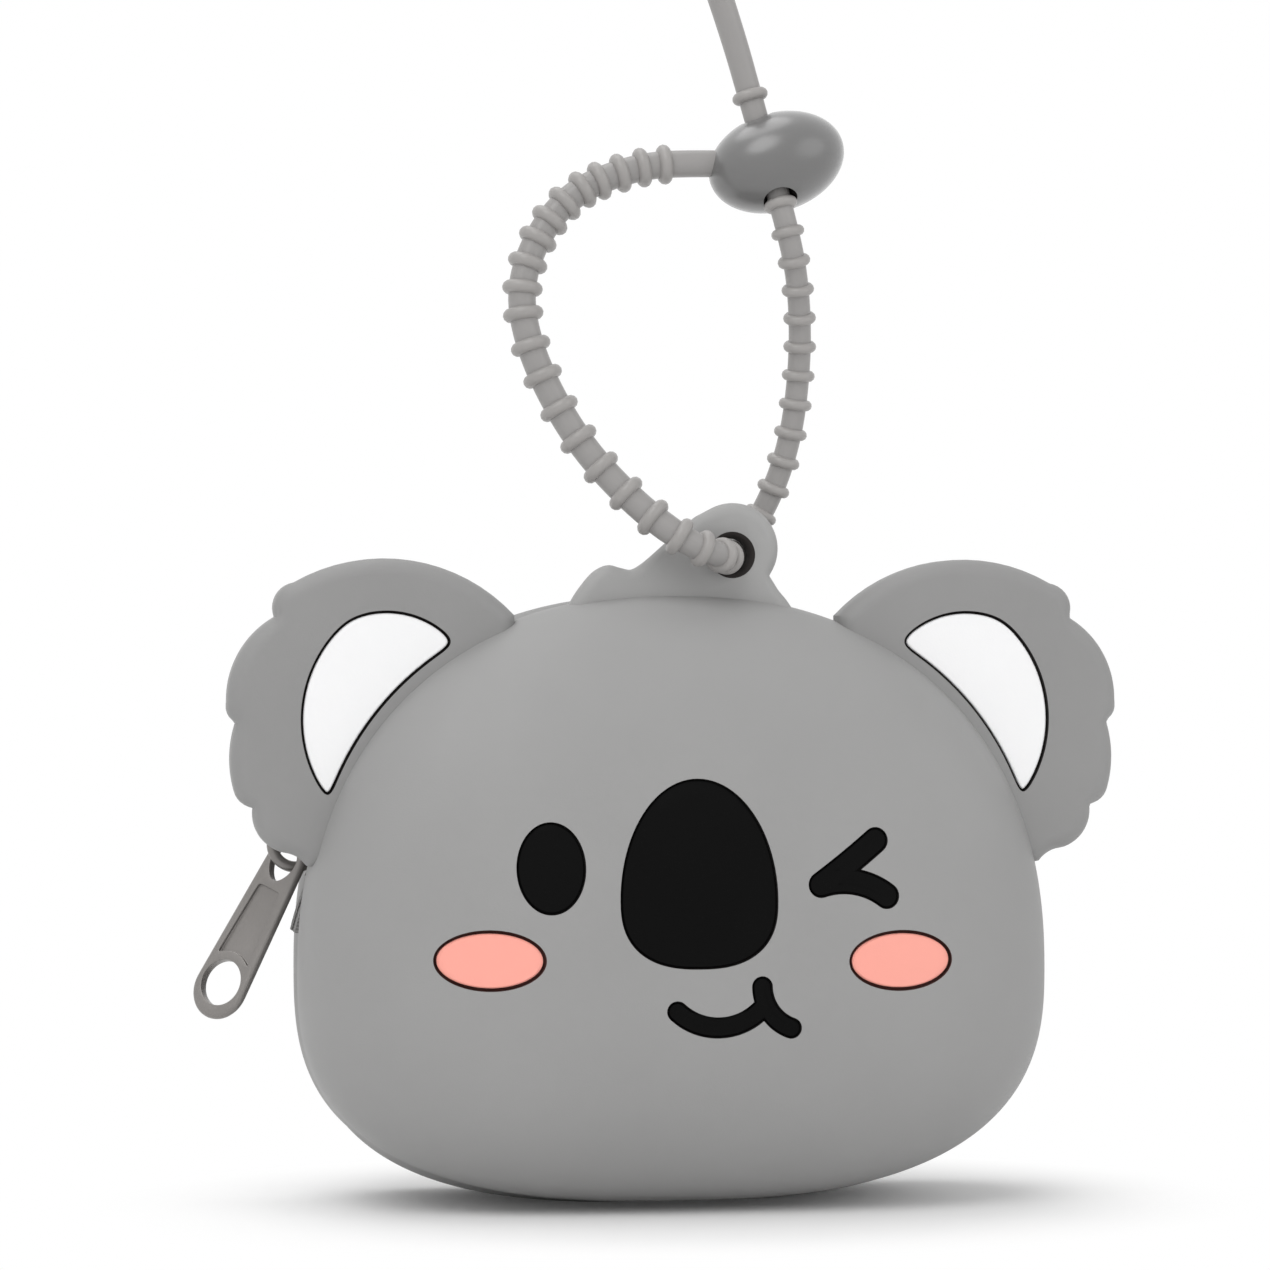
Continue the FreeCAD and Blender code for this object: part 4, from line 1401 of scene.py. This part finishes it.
class RepeatTree:
    """A geometry node tree with named inputs, run on an object and turned into a plain mesh."""

    crease = 40.0

    def __init__(self, name: str, inputs: dict[str, str]) -> None:
        """Args:
            name: The tree's name.
            inputs: Each input's socket type, by its name.
        """
        tree = bpy.data.node_groups.new(name, "GeometryNodeTree")
        self.graph = Graph(tree)
        self.identifiers: dict[str, str] = {}
        tree.interface.new_socket("Geometry", in_out="INPUT", socket_type="NodeSocketGeometry")
        for label, kind in inputs.items():
            made = tree.interface.new_socket(label, in_out="INPUT", socket_type=kind)
            self.identifiers[label] = made.identifier
        tree.interface.new_socket("Geometry", in_out="OUTPUT", socket_type="NodeSocketGeometry")
        self.source = self.graph.node("NodeGroupInput")

    def given(self, label: str) -> Value:
        """One of the tree's inputs."""
        return self.graph.out(self.source, label)

    def close(self, geometry: Value) -> None:
        """Ends the tree: instances made real, with the material of the input of that name.

        Args:
            geometry: What the tree has made.
        """
        real = self.graph.node("GeometryNodeRealizeInstances", {}, {"Geometry": geometry})
        sockets = {"Geometry": self.graph.out(real), "Material": self.given("Material")}
        dressed = self.graph.node("GeometryNodeSetMaterial", {}, sockets)
        self.graph.node("NodeGroupOutput", {}, {"Geometry": self.graph.out(dressed)})

    def run(self, host: Piece, values: dict[str, Any], name: str) -> Piece:
        """Runs the tree on a host object, which it removes.

        Args:
            host: The object whose mesh the tree reads.
            values: The inputs' values by name.
            name: The new piece's name.

        Returns:
            A plain mesh object.
        """
        modifier = host.modifiers.new("repeat", "NODES")
        modifier.node_group = self.graph.tree
        for label, value in values.items():
            modifier[self.identifiers[label]] = value
        mesh = flat_copy(host)
        bpy.data.objects.remove(host)
        mesh.name = name
        shade(mesh, self.crease)
        return link(name, mesh)


@dataclass
class ZipRing:
    """The zip round the head's crown: two tapes, two rows of teeth, and the metal that runs on them."""

    radius: float = ZIP_RADIUS
    tape_thickness: float = 0.5
    tape_inner_y: float = 0.9
    tape_outer_y: float = 5.4
    tape_end: float = 5.5
    tape_steps: int = 180
    cord_bulge: float = 0.12
    cord_width: float = 0.35
    cord_waist: float = 0.9
    curl_from: float = 17.0
    curl: float = 2.4
    curl_outer_y: float = 3.7
    curl_lead: float = 4.0
    pitch: float = 3.15
    first: float = 15.2
    tooth_length: float = 1.15
    tooth_head_y: float = -0.35
    tooth_root_y: float = 2.6
    tooth_half_height: float = 0.75
    tooth_sides: int = 10
    tooth_squareness: float = 0.5
    head_stations: Sequence[Triple] = (
        (0.0, 0.62, 0.55), (0.25, 0.98, 0.92), (0.65, 0.86, 0.95), (0.95, 0.72, 0.95),
    )
    root_stations: Sequence[Triple] = ((-0.3, 0.95, 0.88), (0.0, 0.7, 0.6))
    counts: dict[Half, int] = field(default_factory=lambda: {Half.FRONT: 48, Half.BACK: 47})

    def tape(self, half: Half, name: str) -> Piece:
        """One tape: a curved band with a corded edge, a left end that curls out and a map in millimetres.

        Args:
            half: The half that it belongs to.
            name: The object's name.

        Returns:
            The object.
        """
        t, inner, outer = self.tape_thickness / 2, self.tape_inner_y, self.tape_outer_y
        waist, waist_y = t * self.cord_waist, inner + self.cord_width
        section = [(inner, -t), (inner - self.cord_bulge, 0.0), (inner, t), (waist_y, waist)]
        section += [(outer, t), (outer, -t), (waist_y, -waist)]
        rows = []
        for turn in np.linspace(self.tape_end, 180 - self.tape_end, self.tape_steps):
            loose = np.clip((self.curl_from - turn) / (self.curl_from - self.tape_end), 0, 1)
            reach = outer + (self.curl_outer_y - outer) * min(1.0, self.curl_lead * loose)
            middle, c, s = self.radius + self.curl * math.sqrt(loose), *cos_sin(turn)
            places = [(middle + dz, half.value * min(dy, reach)) for dy, dz in section]
            rows.append(np.array([(-c * r, y, HEAD.middle_z + s * r) for r, y in places]))
        piece = Draft().capped(rows).piece(name, ZIP_TAPE)
        weave = piece.data.uv_layers.new(name="weave")
        for corner in piece.data.loops:
            x, y, z = piece.data.vertices[corner.vertex_index].co / MM
            turn = math.atan2(z - HEAD.middle_z, -x)
            weave.data[corner.index].uv = (turn * self.radius, abs(y))
        return piece

    def tooth(self, half: Half) -> Piece:
        """One tooth at the origin: a waisted head by the zip's plane and a broad grip on the tape.

        Args:
            half: The half that its row belongs to.

        Returns:
            The object.
        """
        form, rows = squared(circle(self.tooth_sides), self.tooth_squareness), []
        stations = [(self.tooth_head_y + y, *shares) for y, *shares in self.head_stations]
        stations += [(self.tooth_root_y + y, *shares) for y, *shares in self.root_stations]
        for y, long_share, high_share in stations:
            size = (self.tooth_length / 2 * long_share, self.tooth_half_height * high_share)
            rows.append(upright(form * size, half.value * y))
        return Draft().capped(rows).piece("zip_tooth", ZIP_TEETH)

    def row_tree(self) -> RepeatTree:
        """The tree that sets teeth at even angles round the ring.

        Returns:
            The tree.
        """
        kinds = {
            "Tooth": "NodeSocketObject",
            "Count": "NodeSocketInt",
            "First Angle": "NodeSocketFloat",
            "Pitch": "NodeSocketFloat",
            "Radius": "NodeSocketFloat",
            "Middle Height": "NodeSocketFloat",
            "Material": "NodeSocketMaterial",
        }
        tree = RepeatTree("zip_teeth_row", kinds)
        graph = tree.graph
        number = graph.out(graph.node("GeometryNodeInputIndex"))
        turn = tree.given("First Angle") + tree.given("Pitch") * number
        lean = turn - math.pi / 2
        reach = tree.given("Radius")
        across = graph.math("SINE", lean) * reach
        height = graph.math("COSINE", lean) * reach + tree.given("Middle Height")
        place = graph.node("ShaderNodeCombineXYZ", {}, {"X": across, "Z": height})
        row = {"Count": tree.given("Count"), "Position": graph.out(place)}
        points = graph.node("GeometryNodePoints", {}, row)
        euler = graph.node("ShaderNodeCombineXYZ", {}, {"Y": lean})
        turned = graph.node("FunctionNodeEulerToRotation", {}, {0: graph.out(euler)})
        tooth = graph.node("GeometryNodeObjectInfo", {}, {"Object": tree.given("Tooth"), "As Instance": True})
        sockets = {
            "Points": graph.out(points),
            "Instance": graph.out(tooth, "Geometry"),
            "Rotation": graph.out(turned),
        }
        tree.close(graph.out(graph.node("GeometryNodeInstanceOnPoints", {}, sockets)))
        return tree

    def teeth(self, tree: RepeatTree, half: Half, first: float, name: str) -> Piece:
        """One row of teeth.

        Args:
            tree: The tree that makes a row.
            half: The half that it belongs to.
            first: The first tooth's angle in degrees.
            name: The object's name.

        Returns:
            The object.
        """
        tooth = self.tooth(half)
        values = {
            "Tooth": tooth,
            "Count": self.counts[half],
            "First Angle": math.radians(first),
            "Pitch": math.radians(self.pitch),
            "Radius": self.radius * MM,
            "Middle Height": HEAD.middle_z * MM,
            "Material": ZIP_TEETH.material(),
        }
        made = tree.run(link(name + "_host", bpy.data.meshes.new(name)), values, name)
        bpy.data.objects.remove(tooth)
        return made

    def dress(self, nodes: dict[str, Piece]) -> None:
        """Places tapes and teeth, and gives the CAD metal its finish.

        Args:
            nodes: The CAD nodes' objects, by name.
        """
        place_piece(self.tape(Half.FRONT, "front_zip_tape"), "purse", "zip_tape", "front_tape")
        place_piece(self.tape(Half.BACK, "back_zip_tape"), "flap", "zip_tape", "back_tape")
        tree = self.row_tree()
        front = self.teeth(tree, Half.FRONT, self.first, "front_zip_teeth")
        back = self.teeth(tree, Half.BACK, self.first + self.pitch / 2, "back_zip_teeth")
        place_piece(front, "purse", "zip_teeth", "front_teeth")
        place_piece(back, "flap", "zip_teeth", "back_teeth")
        for name in ("slider", "left_stop", "right_stop"):
            node = nodes[name]
            node.data.materials.clear()
            node.data.materials.append(ZIP_METAL.material())
            LOG.info("%s keeps its CAD form with a new finish", name)


@dataclass
class ZipPull:
    """The cast pull on the slider's bridge: a bar with round edges, a sunk panel, a slot and an eye."""

    length: float = 23.9
    ring_width: float = 5.8
    end_width: float = 7.8
    bar: float = 1.2
    thickness: float = 1.2
    edge: float = 0.58
    slot_half: float = 1.85
    slot_end: float = 5.2
    eye_radius: float = 2.9
    eye_setback: float = 0.7
    panel_start: float = 6.3
    panel_margin: float = 1.15
    panel_depth: float = 0.42
    soft_edge: float = 0.28
    soft_steps: int = 3
    soft_from: float = 50.0
    creases: Pair = (40.0, 45.0)
    edge_rows: int = 5
    end_steps: int = 33
    spacing: float = 0.3
    slot_taper: float = 0.2
    hollow_steps: int = 17
    hollow_gap: float = 0.15
    panel_spacing: float = 0.2
    panel_passes: int = 4
    eye_sides: int = 64
    twist: float = 48.0
    tilt: float = 5.9
    slider_angle: float = 21.5
    bridge_back: float = 2.6
    bridge_lift: float = 4.45
    bridge_radius: float = 2.85
    bridge_bar: Pair = (0.62, 0.7)
    bridge_turns: Pair = (-62.0, 242.0)
    bridge_steps: int = 40
    bridge_sides: int = 20

    def outline(self) -> np.ndarray:
        """The pull from its bar, at x = 0, to its tip.

        Returns:
            Its points, lengthways and across.
        """
        ring, end = self.ring_width / 2, self.end_width / 2
        head, tail = ring - self.bar / 2, self.length - end
        turn = np.radians(np.linspace(-90, 90, self.end_steps))
        tip = np.stack([tail + end * np.cos(turn), end * np.sin(turn)], 1)
        top = np.stack([head - ring * np.cos(turn), -ring * np.sin(turn)], 1)
        return evened(np.concatenate([tip, top]), self.spacing)

    def eye_x(self) -> float:
        """Where the eye's middle lies."""
        return self.length - self.end_width / 2 - self.eye_setback

    def slot(self) -> np.ndarray:
        """The slot for the bridge, round at the bar and narrower at its foot.

        Returns:
            Its points, lengthways and across.
        """
        near, far = self.bar / 2, self.slot_end
        c, s = circle(BORE_SIDES).T
        x = (near + far) / 2 - (far - near) / 2 * c
        return np.stack([x, self.slot_half * s * (1 + self.slot_taper * c)], 1)

    def panel(self) -> np.ndarray:
        """The sunk panel between the slot and the eye, which it follows with a hollow end.

        Returns:
            Its points, lengthways and across.
        """
        eye, rim = self.eye_x(), self.eye_radius + self.panel_margin
        near, far = self.ring_width / 2 - self.panel_margin, self.end_width / 2 - self.panel_margin
        span = math.asin(min(1.0, (far - self.hollow_gap) / rim))
        turn = np.linspace(span, -span, self.hollow_steps)
        hollow = np.stack([eye - rim * np.cos(turn), rim * np.sin(turn)], 1)
        sharp = np.concatenate([hollow, [(self.panel_start, -near), (self.panel_start, near)]])
        return drawn_in(counterclockwise(evened(sharp, self.panel_spacing)), 0.0, self.panel_passes)

    def bar_of(self, outline: np.ndarray, low: float, high: float) -> Piece:
        """A cutter of an outline between two depths."""
        rows = [upright(counterclockwise(outline), y) for y in (low, high)]
        return Draft().capped(rows).piece("pull_cutter", ZIP_METAL)

    def hang(self, points: np.ndarray) -> np.ndarray:
        """Points of the pull or of the bridge, moved to where these hang at rest.

        Args:
            points: Points round the bridge's middle.

        Returns:
            Their places.
        """
        c, s = cos_sin(90 - self.slider_angle)
        x = points[:, 0] - self.bridge_back
        z = points[:, 2] + ZIP_RADIUS + self.bridge_lift
        return np.stack([x * c - z * s, points[:, 1], HEAD.middle_z + (x * s + z * c)], 1)

    def twisted(self, points: np.ndarray) -> np.ndarray:
        """Points of the flat pull, turned about its own length and tilted.

        Args:
            points: Points of the flat pull.

        Returns:
            Their places round the bridge's middle.
        """
        x, depth, across = points.T
        c, s = cos_sin(self.twist)
        y, z = across * c - depth * s, -depth * c - across * s
        c, s = cos_sin(180 + self.tilt)
        return np.stack([x * c + z * s, y, z * c - x * s], 1)

    def moved(self, piece: Piece, twisted: bool) -> Piece:
        """The same piece where it hangs.

        Args:
            piece: The pull or the bridge.
            twisted: Whether it is the pull.

        Returns:
            The same object.
        """
        flat = np.array([v.co for v in piece.data.vertices]) / MM
        placed = self.hang(self.twisted(flat) if twisted else flat)
        piece.data.vertices.foreach_set("co", (placed * MM).astype(np.float32).ravel())
        piece.data.update()
        return piece

    def build(self) -> Piece:
        """The pull as one closed casting.

        Returns:
            The object.
        """
        half = self.thickness / 2
        body = pillow(self.outline(), -half, half, self.edge, self.edge_rows).piece("cast_pull", ZIP_METAL)
        eye = np.array([self.eye_x(), 0.0]) + self.eye_radius * circle(self.eye_sides)
        cutters = [self.bar_of(shape, -OVERRUN, OVERRUN) for shape in (eye, self.slot())]
        sunk = half - self.panel_depth
        cutters += [self.bar_of(self.panel(), *ends) for ends in ((-OVERRUN, -sunk), (sunk, OVERRUN))]
        carve(body, [(Joining.TAKE, cutters)], self.creases[0])
        soften = body.modifiers.new("soften", "BEVEL")
        soften.width, soften.segments = self.soft_edge * MM, self.soft_steps
        soften.limit_method, soften.angle_limit = "ANGLE", math.radians(self.soft_from)
        mesh = flat_copy(body)
        body.modifiers.clear()
        body.data = mesh
        mesh.name = body.name
        shade(mesh, self.creases[1])
        return self.moved(body, True)

    def bridge(self) -> Piece:
        """The rounded bar of the slider's bridge, on the CAD slider's thinner one.

        Returns:
            The object.
        """
        wide, deep = self.bridge_bar
        around, rows = circle(self.bridge_sides), []
        for turn in np.linspace(*self.bridge_turns, self.bridge_steps):
            c, s = cos_sin(turn)
            out = self.bridge_radius + deep * around[:, 0]
            rows.append(np.stack([out * c, wide * around[:, 1], out * s], 1))
        return self.moved(Draft().capped(rows).piece("slider_bridge", ZIP_METAL), False)

    def dress(self) -> None:
        """Places the pull, and the bridge on the slider."""
        place_piece(self.build(), "zip_pull", "zip_metal", "pull")
        place_piece(self.bridge(), "zip_slider", "zip_metal")


@dataclass
class WristStrap:
    """The ribbed strap, which loops through its eye and its toggle, and the toggle itself."""

    route: Sequence[Triple] = (
        (7.6, -10.7, 127.9),
        (4.2, -10.7, 128.0),
        (-4.6, -11.0, 127.6),
        (-13.9, -11.6, 123.6),
        (-19.3, -12.4, 114.4),
        (-18.7, -13.4, 105.6),
        (-13.2, -14.8, 94.3),
        (-6.1, -16.6, 86.2),
        (0.5, -18.9, 81.0),
        (5.9, -16.7, 79.4),
        (7.6, -7.1, 79.4),
        (12.1, -6.9, 85.4),
        (14.9, -9.0, 93.8),
        (15.9, -10.4, 104.0),
        (15.1, -13.4, 113.0),
        (13.3, -15.3, 120.0),
        (10.2, -10.2, 134.2),
        (7.1, -10.4, 145.0),
        (3.6, -11.0, 154.6),
    )
    girths: Sequence[Pair] = ((0.0, 1.66), (70.0, 1.72), (80.0, 1.45), (124.0, 1.36), (160.0, 1.6))
    curve_order: int = 3
    curve_steps: int = 24
    spacing: float = 0.4
    first_rib: float = 9.0
    rib_pitches: Sequence[Pair] = ((0.0, 2.6), (26.0, 2.8), (42.0, 4.2), (66.0, 4.5), (72.0, 3.1))
    leg_pitch: float = 3.6
    last_rib_gap: float = 0.05
    toggle_spare: float = 0.4
    tail_rib_gap: float = 2.5
    mouth_gap: float = 1.0
    back_slack: float = 0.8
    clear_mouths: float = 1.7
    tip_length: float = 1.4
    tip_least: float = 0.02
    sides: int = 28
    rib_sides: int = 12
    rib_share: float = 0.48
    length: float = 166.8
    diameter: float = 3.3
    toggle_centre: Triple = (12.8, -10.7, 128.25)
    toggle_half: Triple = (8.6, 6.8, 6.05)
    toggle_tilt: float = 18.0
    bore: float = 1.95
    bore_flare: float = 0.22
    flare_from: float = 0.8
    flare_limit: float = 1.6
    bore_reach: float = 3.0
    bore_sides: int = 40
    bead_sides: int = 96
    bead_rows: int = 49
    bead_crease: float = 40.0
    mouth_shift: Triple = (-0.1, -0.7, 0.5)

    def path(self) -> np.ndarray:
        """Points of the smooth line that the route's points steer, in millimetres.

        Returns:
            The points, at even distances.
        """
        curve = bpy.data.curves.new("strap_route", "CURVE")
        curve.dimensions = "3D"
        spline = curve.splines.new("NURBS")
        spline.points.add(len(self.route) - 1)
        for point, place in zip(spline.points, self.route):
            point.co = (*(c * MM for c in place), 1.0)
        spline.order_u = self.curve_order
        spline.use_endpoint_u = True
        spline.resolution_u = self.curve_steps
        guide = link("strap_route", curve)
        mesh = bpy.data.meshes.new_from_object(guide)
        points = np.array([v.co for v in mesh.vertices]) / MM
        bpy.data.objects.remove(guide)
        bpy.data.meshes.remove(mesh)
        return evened(points, self.spacing, closed=False)

    def toggle_axes(self) -> np.ndarray:
        """The toggle's long, deep and short ways, one a row."""
        c, s = cos_sin(self.toggle_tilt)
        return np.array([(c, 0, s), (0, 1, 0), (-s, 0, c)])

    def from_toggle(self, points: np.ndarray, spare: float) -> np.ndarray:
        """How far points lie from the toggle's middle, with its surface, let out by a spare, at 1."""
        own = (points - np.array(self.toggle_centre)) @ self.toggle_axes().T
        return np.linalg.norm(own / (np.array(self.toggle_half) + spare), axis=1)

    def rib_places(self, eye: float, mouth: float, end: float) -> list[float]:
        """Each rib's distance along the strap.

        Args:
            eye: Where the strap passes the eye's middle.
            mouth: How far from there the eye's mouths lie, at each of which a rib sits.
            end: Where the strap enters the toggle.

        Returns:
            The ribs from the start to the eye, and from the toggle back to the eye.
        """
        places, at = [eye - mouth, eye + mouth + self.back_slack], self.first_rib
        while at < eye - self.clear_mouths * mouth:
            places.append(at)
            at += float(np.interp(at, *zip(*self.rib_pitches)))
        at = end - self.last_rib_gap
        while at > eye + self.clear_mouths * mouth:
            places.append(at)
            at -= self.leg_pitch
        return places

    def host(self, path: np.ndarray) -> Piece:
        """The path as a mesh line that carries the strap's girth, course and rib places.

        Args:
            path: The strap's middle line.

        Returns:
            The object.
        """
        run = np.concatenate([[0], np.cumsum(np.linalg.norm(np.diff(path, axis=0), axis=1))])
        inside = self.from_toggle(path, self.toggle_spare) < 1
        entry = int(np.argmax(inside & (run > run[-1] / 2)))
        leave = int(len(path) - 1 - np.argmax(inside[::-1]))
        girth = np.interp(run, *zip(*self.girths))
        tip = np.clip((run[-1] - run) / self.tip_length, 0, 1)
        girth = girth * np.sqrt(np.clip(1 - (1 - tip) ** 2, self.tip_least, 1))
        rib = np.zeros(len(path))
        eye = np.array([EYE.bore_centre[0], EYE.front_y + EYE.thickness / 2, EYE.bore_centre[1]])
        eye_run = run[np.argmin(np.linalg.norm(path - eye, axis=1))]
        mouth = EYE.thickness / 2 + self.mouth_gap
        for place in self.rib_places(eye_run, mouth, run[entry]) + [run[leave] + self.tail_rib_gap]:
            rib[np.argmin(np.abs(run - place))] = 1.0
        mesh = bpy.data.meshes.new("strap_line")
        edges = [(k, k + 1) for k in range(len(path) - 1)]
        mesh.from_pydata([tuple(p * MM) for p in path], edges, [])
        course = np.gradient(path, axis=0)
        course /= np.linalg.norm(course, axis=1)[:, None]
        for label, kind, key, values in (
            ("girth", "FLOAT", "value", girth * MM),
            ("rib", "FLOAT", "value", rib),
            ("course", "FLOAT_VECTOR", "vector", course),
        ):
            made = mesh.attributes.new(label, kind, "POINT")
            made.data.foreach_set(key, values.astype(np.float32).ravel())
        return link("strap_line", mesh)

    def tree(self) -> RepeatTree:
        """The tree that wraps a tube round the line and sets a rib at each marked point.

        Returns:
            The tree.
        """
        kinds = {"Sides": "NodeSocketInt", "Rib Share": "NodeSocketFloat", "Material": "NodeSocketMaterial"}
        tree = RepeatTree("ribbed_strap", kinds)
        graph = tree.graph

        def carried(label: str, kind: str) -> Value:
            """One of the line's own attributes."""
            made = graph.node("GeometryNodeInputNamedAttribute", {"data_type": kind}, {"Name": label})
            return graph.out(made, "Attribute")

        girth, line = carried("girth", "FLOAT"), tree.given("Geometry")
        curve = graph.out(graph.node("GeometryNodeMeshToCurve", {}, {"Mesh": line}))
        ring = {"Resolution": tree.given("Sides"), "Radius": 1.0}
        round_line = graph.out(graph.node("GeometryNodeCurvePrimitiveCircle", {}, ring))
        along = {"Curve": curve, "Profile Curve": round_line, "Scale": girth, "Fill Caps": True}
        swept = graph.node("GeometryNodeCurveToMesh", {}, along)
        bead = {"Resolution": self.rib_sides, "Radius": tree.given("Rib Share")}
        small = graph.out(graph.node("GeometryNodeCurvePrimitiveCircle", {}, bead))
        bent = {"Curve": round_line, "Profile Curve": small}
        torus = graph.out(graph.node("GeometryNodeCurveToMesh", {}, bent))
        # Marks the ribs, which the strap's finish paints paler: painted light on the raised ribs.
        mark = {"Geometry": torus, "Name": STRAP_GREY.rib_mark, "Value": 1.0}
        rib = graph.node("GeometryNodeStoreNamedAttribute", {"data_type": "FLOAT", "domain": "POINT"}, mark)
        course = {"Vector": carried("course", "FLOAT_VECTOR")}
        turned = graph.node("FunctionNodeAlignRotationToVector", {"axis": "Z"}, course)
        sockets = {
            "Points": line,
            "Selection": carried("rib", "FLOAT") > 0.5,
            "Instance": graph.out(rib),
            "Rotation": graph.out(turned),
            "Scale": girth,
        }
        ribs = graph.node("GeometryNodeInstanceOnPoints", {}, sockets)
        joined = graph.node("GeometryNodeJoinGeometry")
        for made in (swept, ribs):
            graph.feed(joined.inputs[0], graph.out(made))
        tree.close(graph.out(joined))
        return tree

    def toggle(self, path: np.ndarray) -> Piece:
        """A flattened ball with the strap's bore through it.

        Args:
            path: The strap's middle line.

        Returns:
            The object.
        """
        rows, draft = [], Draft()
        long_way, deep_way, short_way = np.array(self.toggle_half)[:, None] * self.toggle_axes()
        centre = np.array(self.toggle_centre)
        girdle = circle(self.bead_sides) @ np.array([long_way, deep_way])
        for lift in np.linspace(-math.pi / 2, math.pi / 2, self.bead_rows)[1:-1]:
            rows.append(centre + girdle * math.cos(lift) + short_way * math.sin(lift))
        loops = draft.skin(rows)
        draft.fan(loops[0], centre - short_way)
        draft.fan(loops[-1], centre + short_way)
        ball = draft.piece("toggle_bead", TOGGLE_GREY)
        half = path[len(path) // 2 :]
        through = half[self.from_toggle(half, self.bore_reach) < 1]
        low = np.clip((self.toggle_centre[2] - through[:, 2]) / self.toggle_half[2], 0, 1)
        through = through + low[:, None] * np.array(self.mouth_shift)
        out = (self.from_toggle(through, 0.0) - self.flare_from) / (1 - self.flare_from)
        widths = self.bore + self.bore_flare * np.clip(out, 0, self.flare_limit) ** 2
        # The bore's wall takes the dark colour: painted shade inside the toggle's hole.
        bore = tube(through, widths, self.bore_sides, "toggle_bore", RECESS_PAINTED_SHADE)
        carve(ball, [(Joining.TAKE, [bore])], self.bead_crease)
        return ball

    def dress(self) -> None:
        path = self.path()
        values = {"Sides": self.sides, "Rib Share": self.rib_share, "Material": STRAP_GREY.material()}
        strap = self.tree().run(self.host(path), values, "ribbed_strap")
        toggle = self.toggle(path)
        place_piece(strap, "wrist_strap", "strap_silicone", "strap")
        place_piece(toggle, "wrist_strap", "toggle_silicone", "strap_toggle")


def tube(path: np.ndarray, radii: np.ndarray, sides: int, name: str, finish: Finish) -> Piece:
    """A closed tube along a path.

    Args:
        path: Points of its middle line.
        radii: Its radius at each point.
        sides: How many points go round it.
        name: The object's name.
        finish: Its finish.

    Returns:
        The object.
    """
    rows, side = [], np.array([0.0, 1.0, 0.0])
    for point, way, radius in zip(path, np.gradient(path, axis=0), radii):
        way = way / np.linalg.norm(way)
        side = side - way * (side @ way)
        side /= np.linalg.norm(side)
        rows.append(point + radius * circle(sides) @ np.array([side, np.cross(way, side)]))
    return Draft().capped(rows).piece(name, finish)


@dataclass
class Studio:
    """A white paper sweep, soft lamps and the camera at the photograph's place."""

    heading_degrees: float = 8.5
    distance: float = 600.0
    aside: float = 3.17
    eye_height: float = 70.0
    lens: float = 136.06
    sensor: float = 36.0
    clip: Pair = (0.01, 100.0)
    aim: Triple = (0.0, 0.0, 0.06)
    world_strength: float = 0.62
    floor_half: float = 6000.0
    lamps: Sequence[tuple[str, Triple, float, float]] = (
        ("key_softbox", (-0.5, -0.75, 1.05), 0.9, 5.4),
        ("fill_softbox", (0.9, -0.8, 0.55), 1.0, 2.2),
        ("top_softbox", (-0.25, 0.25, 1.15), 0.9, 3.4),
    )

    def camera(self) -> None:
        """A level camera, a little to the left of the head."""
        c, s = cos_sin(self.heading_degrees)
        forward, right = np.array([s, c, 0.0]), np.array([c, -s, 0.0])
        place = -self.distance * forward - self.aside * right + np.array([0, 0, self.eye_height])
        data = bpy.data.cameras.new("photo_camera")
        data.lens, data.sensor_width = self.lens, self.sensor
        data.clip_start, data.clip_end = self.clip
        made = link("photo_camera", data)
        made.location = tuple(place * MM)
        made.rotation_euler = (math.pi / 2, 0.0, -math.radians(self.heading_degrees))
        bpy.context.scene.camera = made

    def light(self) -> None:
        """Large soft lamps and an even white surround."""
        for name, place, size, power in self.lamps:
            data = bpy.data.lights.new(name, "AREA")
            data.shape, data.size, data.energy = "DISK", size, power
            made = link(name, data)
            made.location = place
            way = Vector(self.aim) - Vector(place)
            made.rotation_euler = way.to_track_quat("-Z", "Y").to_euler()
        world = bpy.data.worlds.new("studio")
        bpy.context.scene.world = world
        world.use_nodes = True
        graph = Graph(world.node_tree)
        strength = graph.math("MAXIMUM", graph.seen(), self.world_strength)
        back = graph.node("ShaderNodeBackground", {}, {"Color": (1.0, 1.0, 1.0, 1.0), "Strength": strength})
        graph.node("ShaderNodeOutputWorld", {}, {"Surface": graph.out(back)})

    def floor(self) -> None:
        """The paper that the purse stands on."""
        draft, r = Draft(), self.floor_half
        draft.cap(draft.loop([(-r, -r, 0), (r, -r, 0), (r, r, 0), (-r, r, 0)]))
        draft.piece("studio_floor", PAPER)


def main() -> None:
    """Builds the scene in order."""
    logging.basicConfig(level=logging.INFO, format="%(name)s: %(message)s")
    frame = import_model()
    bpy.context.scene.view_settings.view_transform = "Standard"
    studio = Studio()
    studio.camera()
    WristStrap().dress()
    FrontMoulding().dress()
    BackMoulding().dress()
    ZipRing().dress(frame["nodes"])
    ZipPull().dress()
    studio.floor()
    studio.light()


if __name__ == "__main__":
    main()
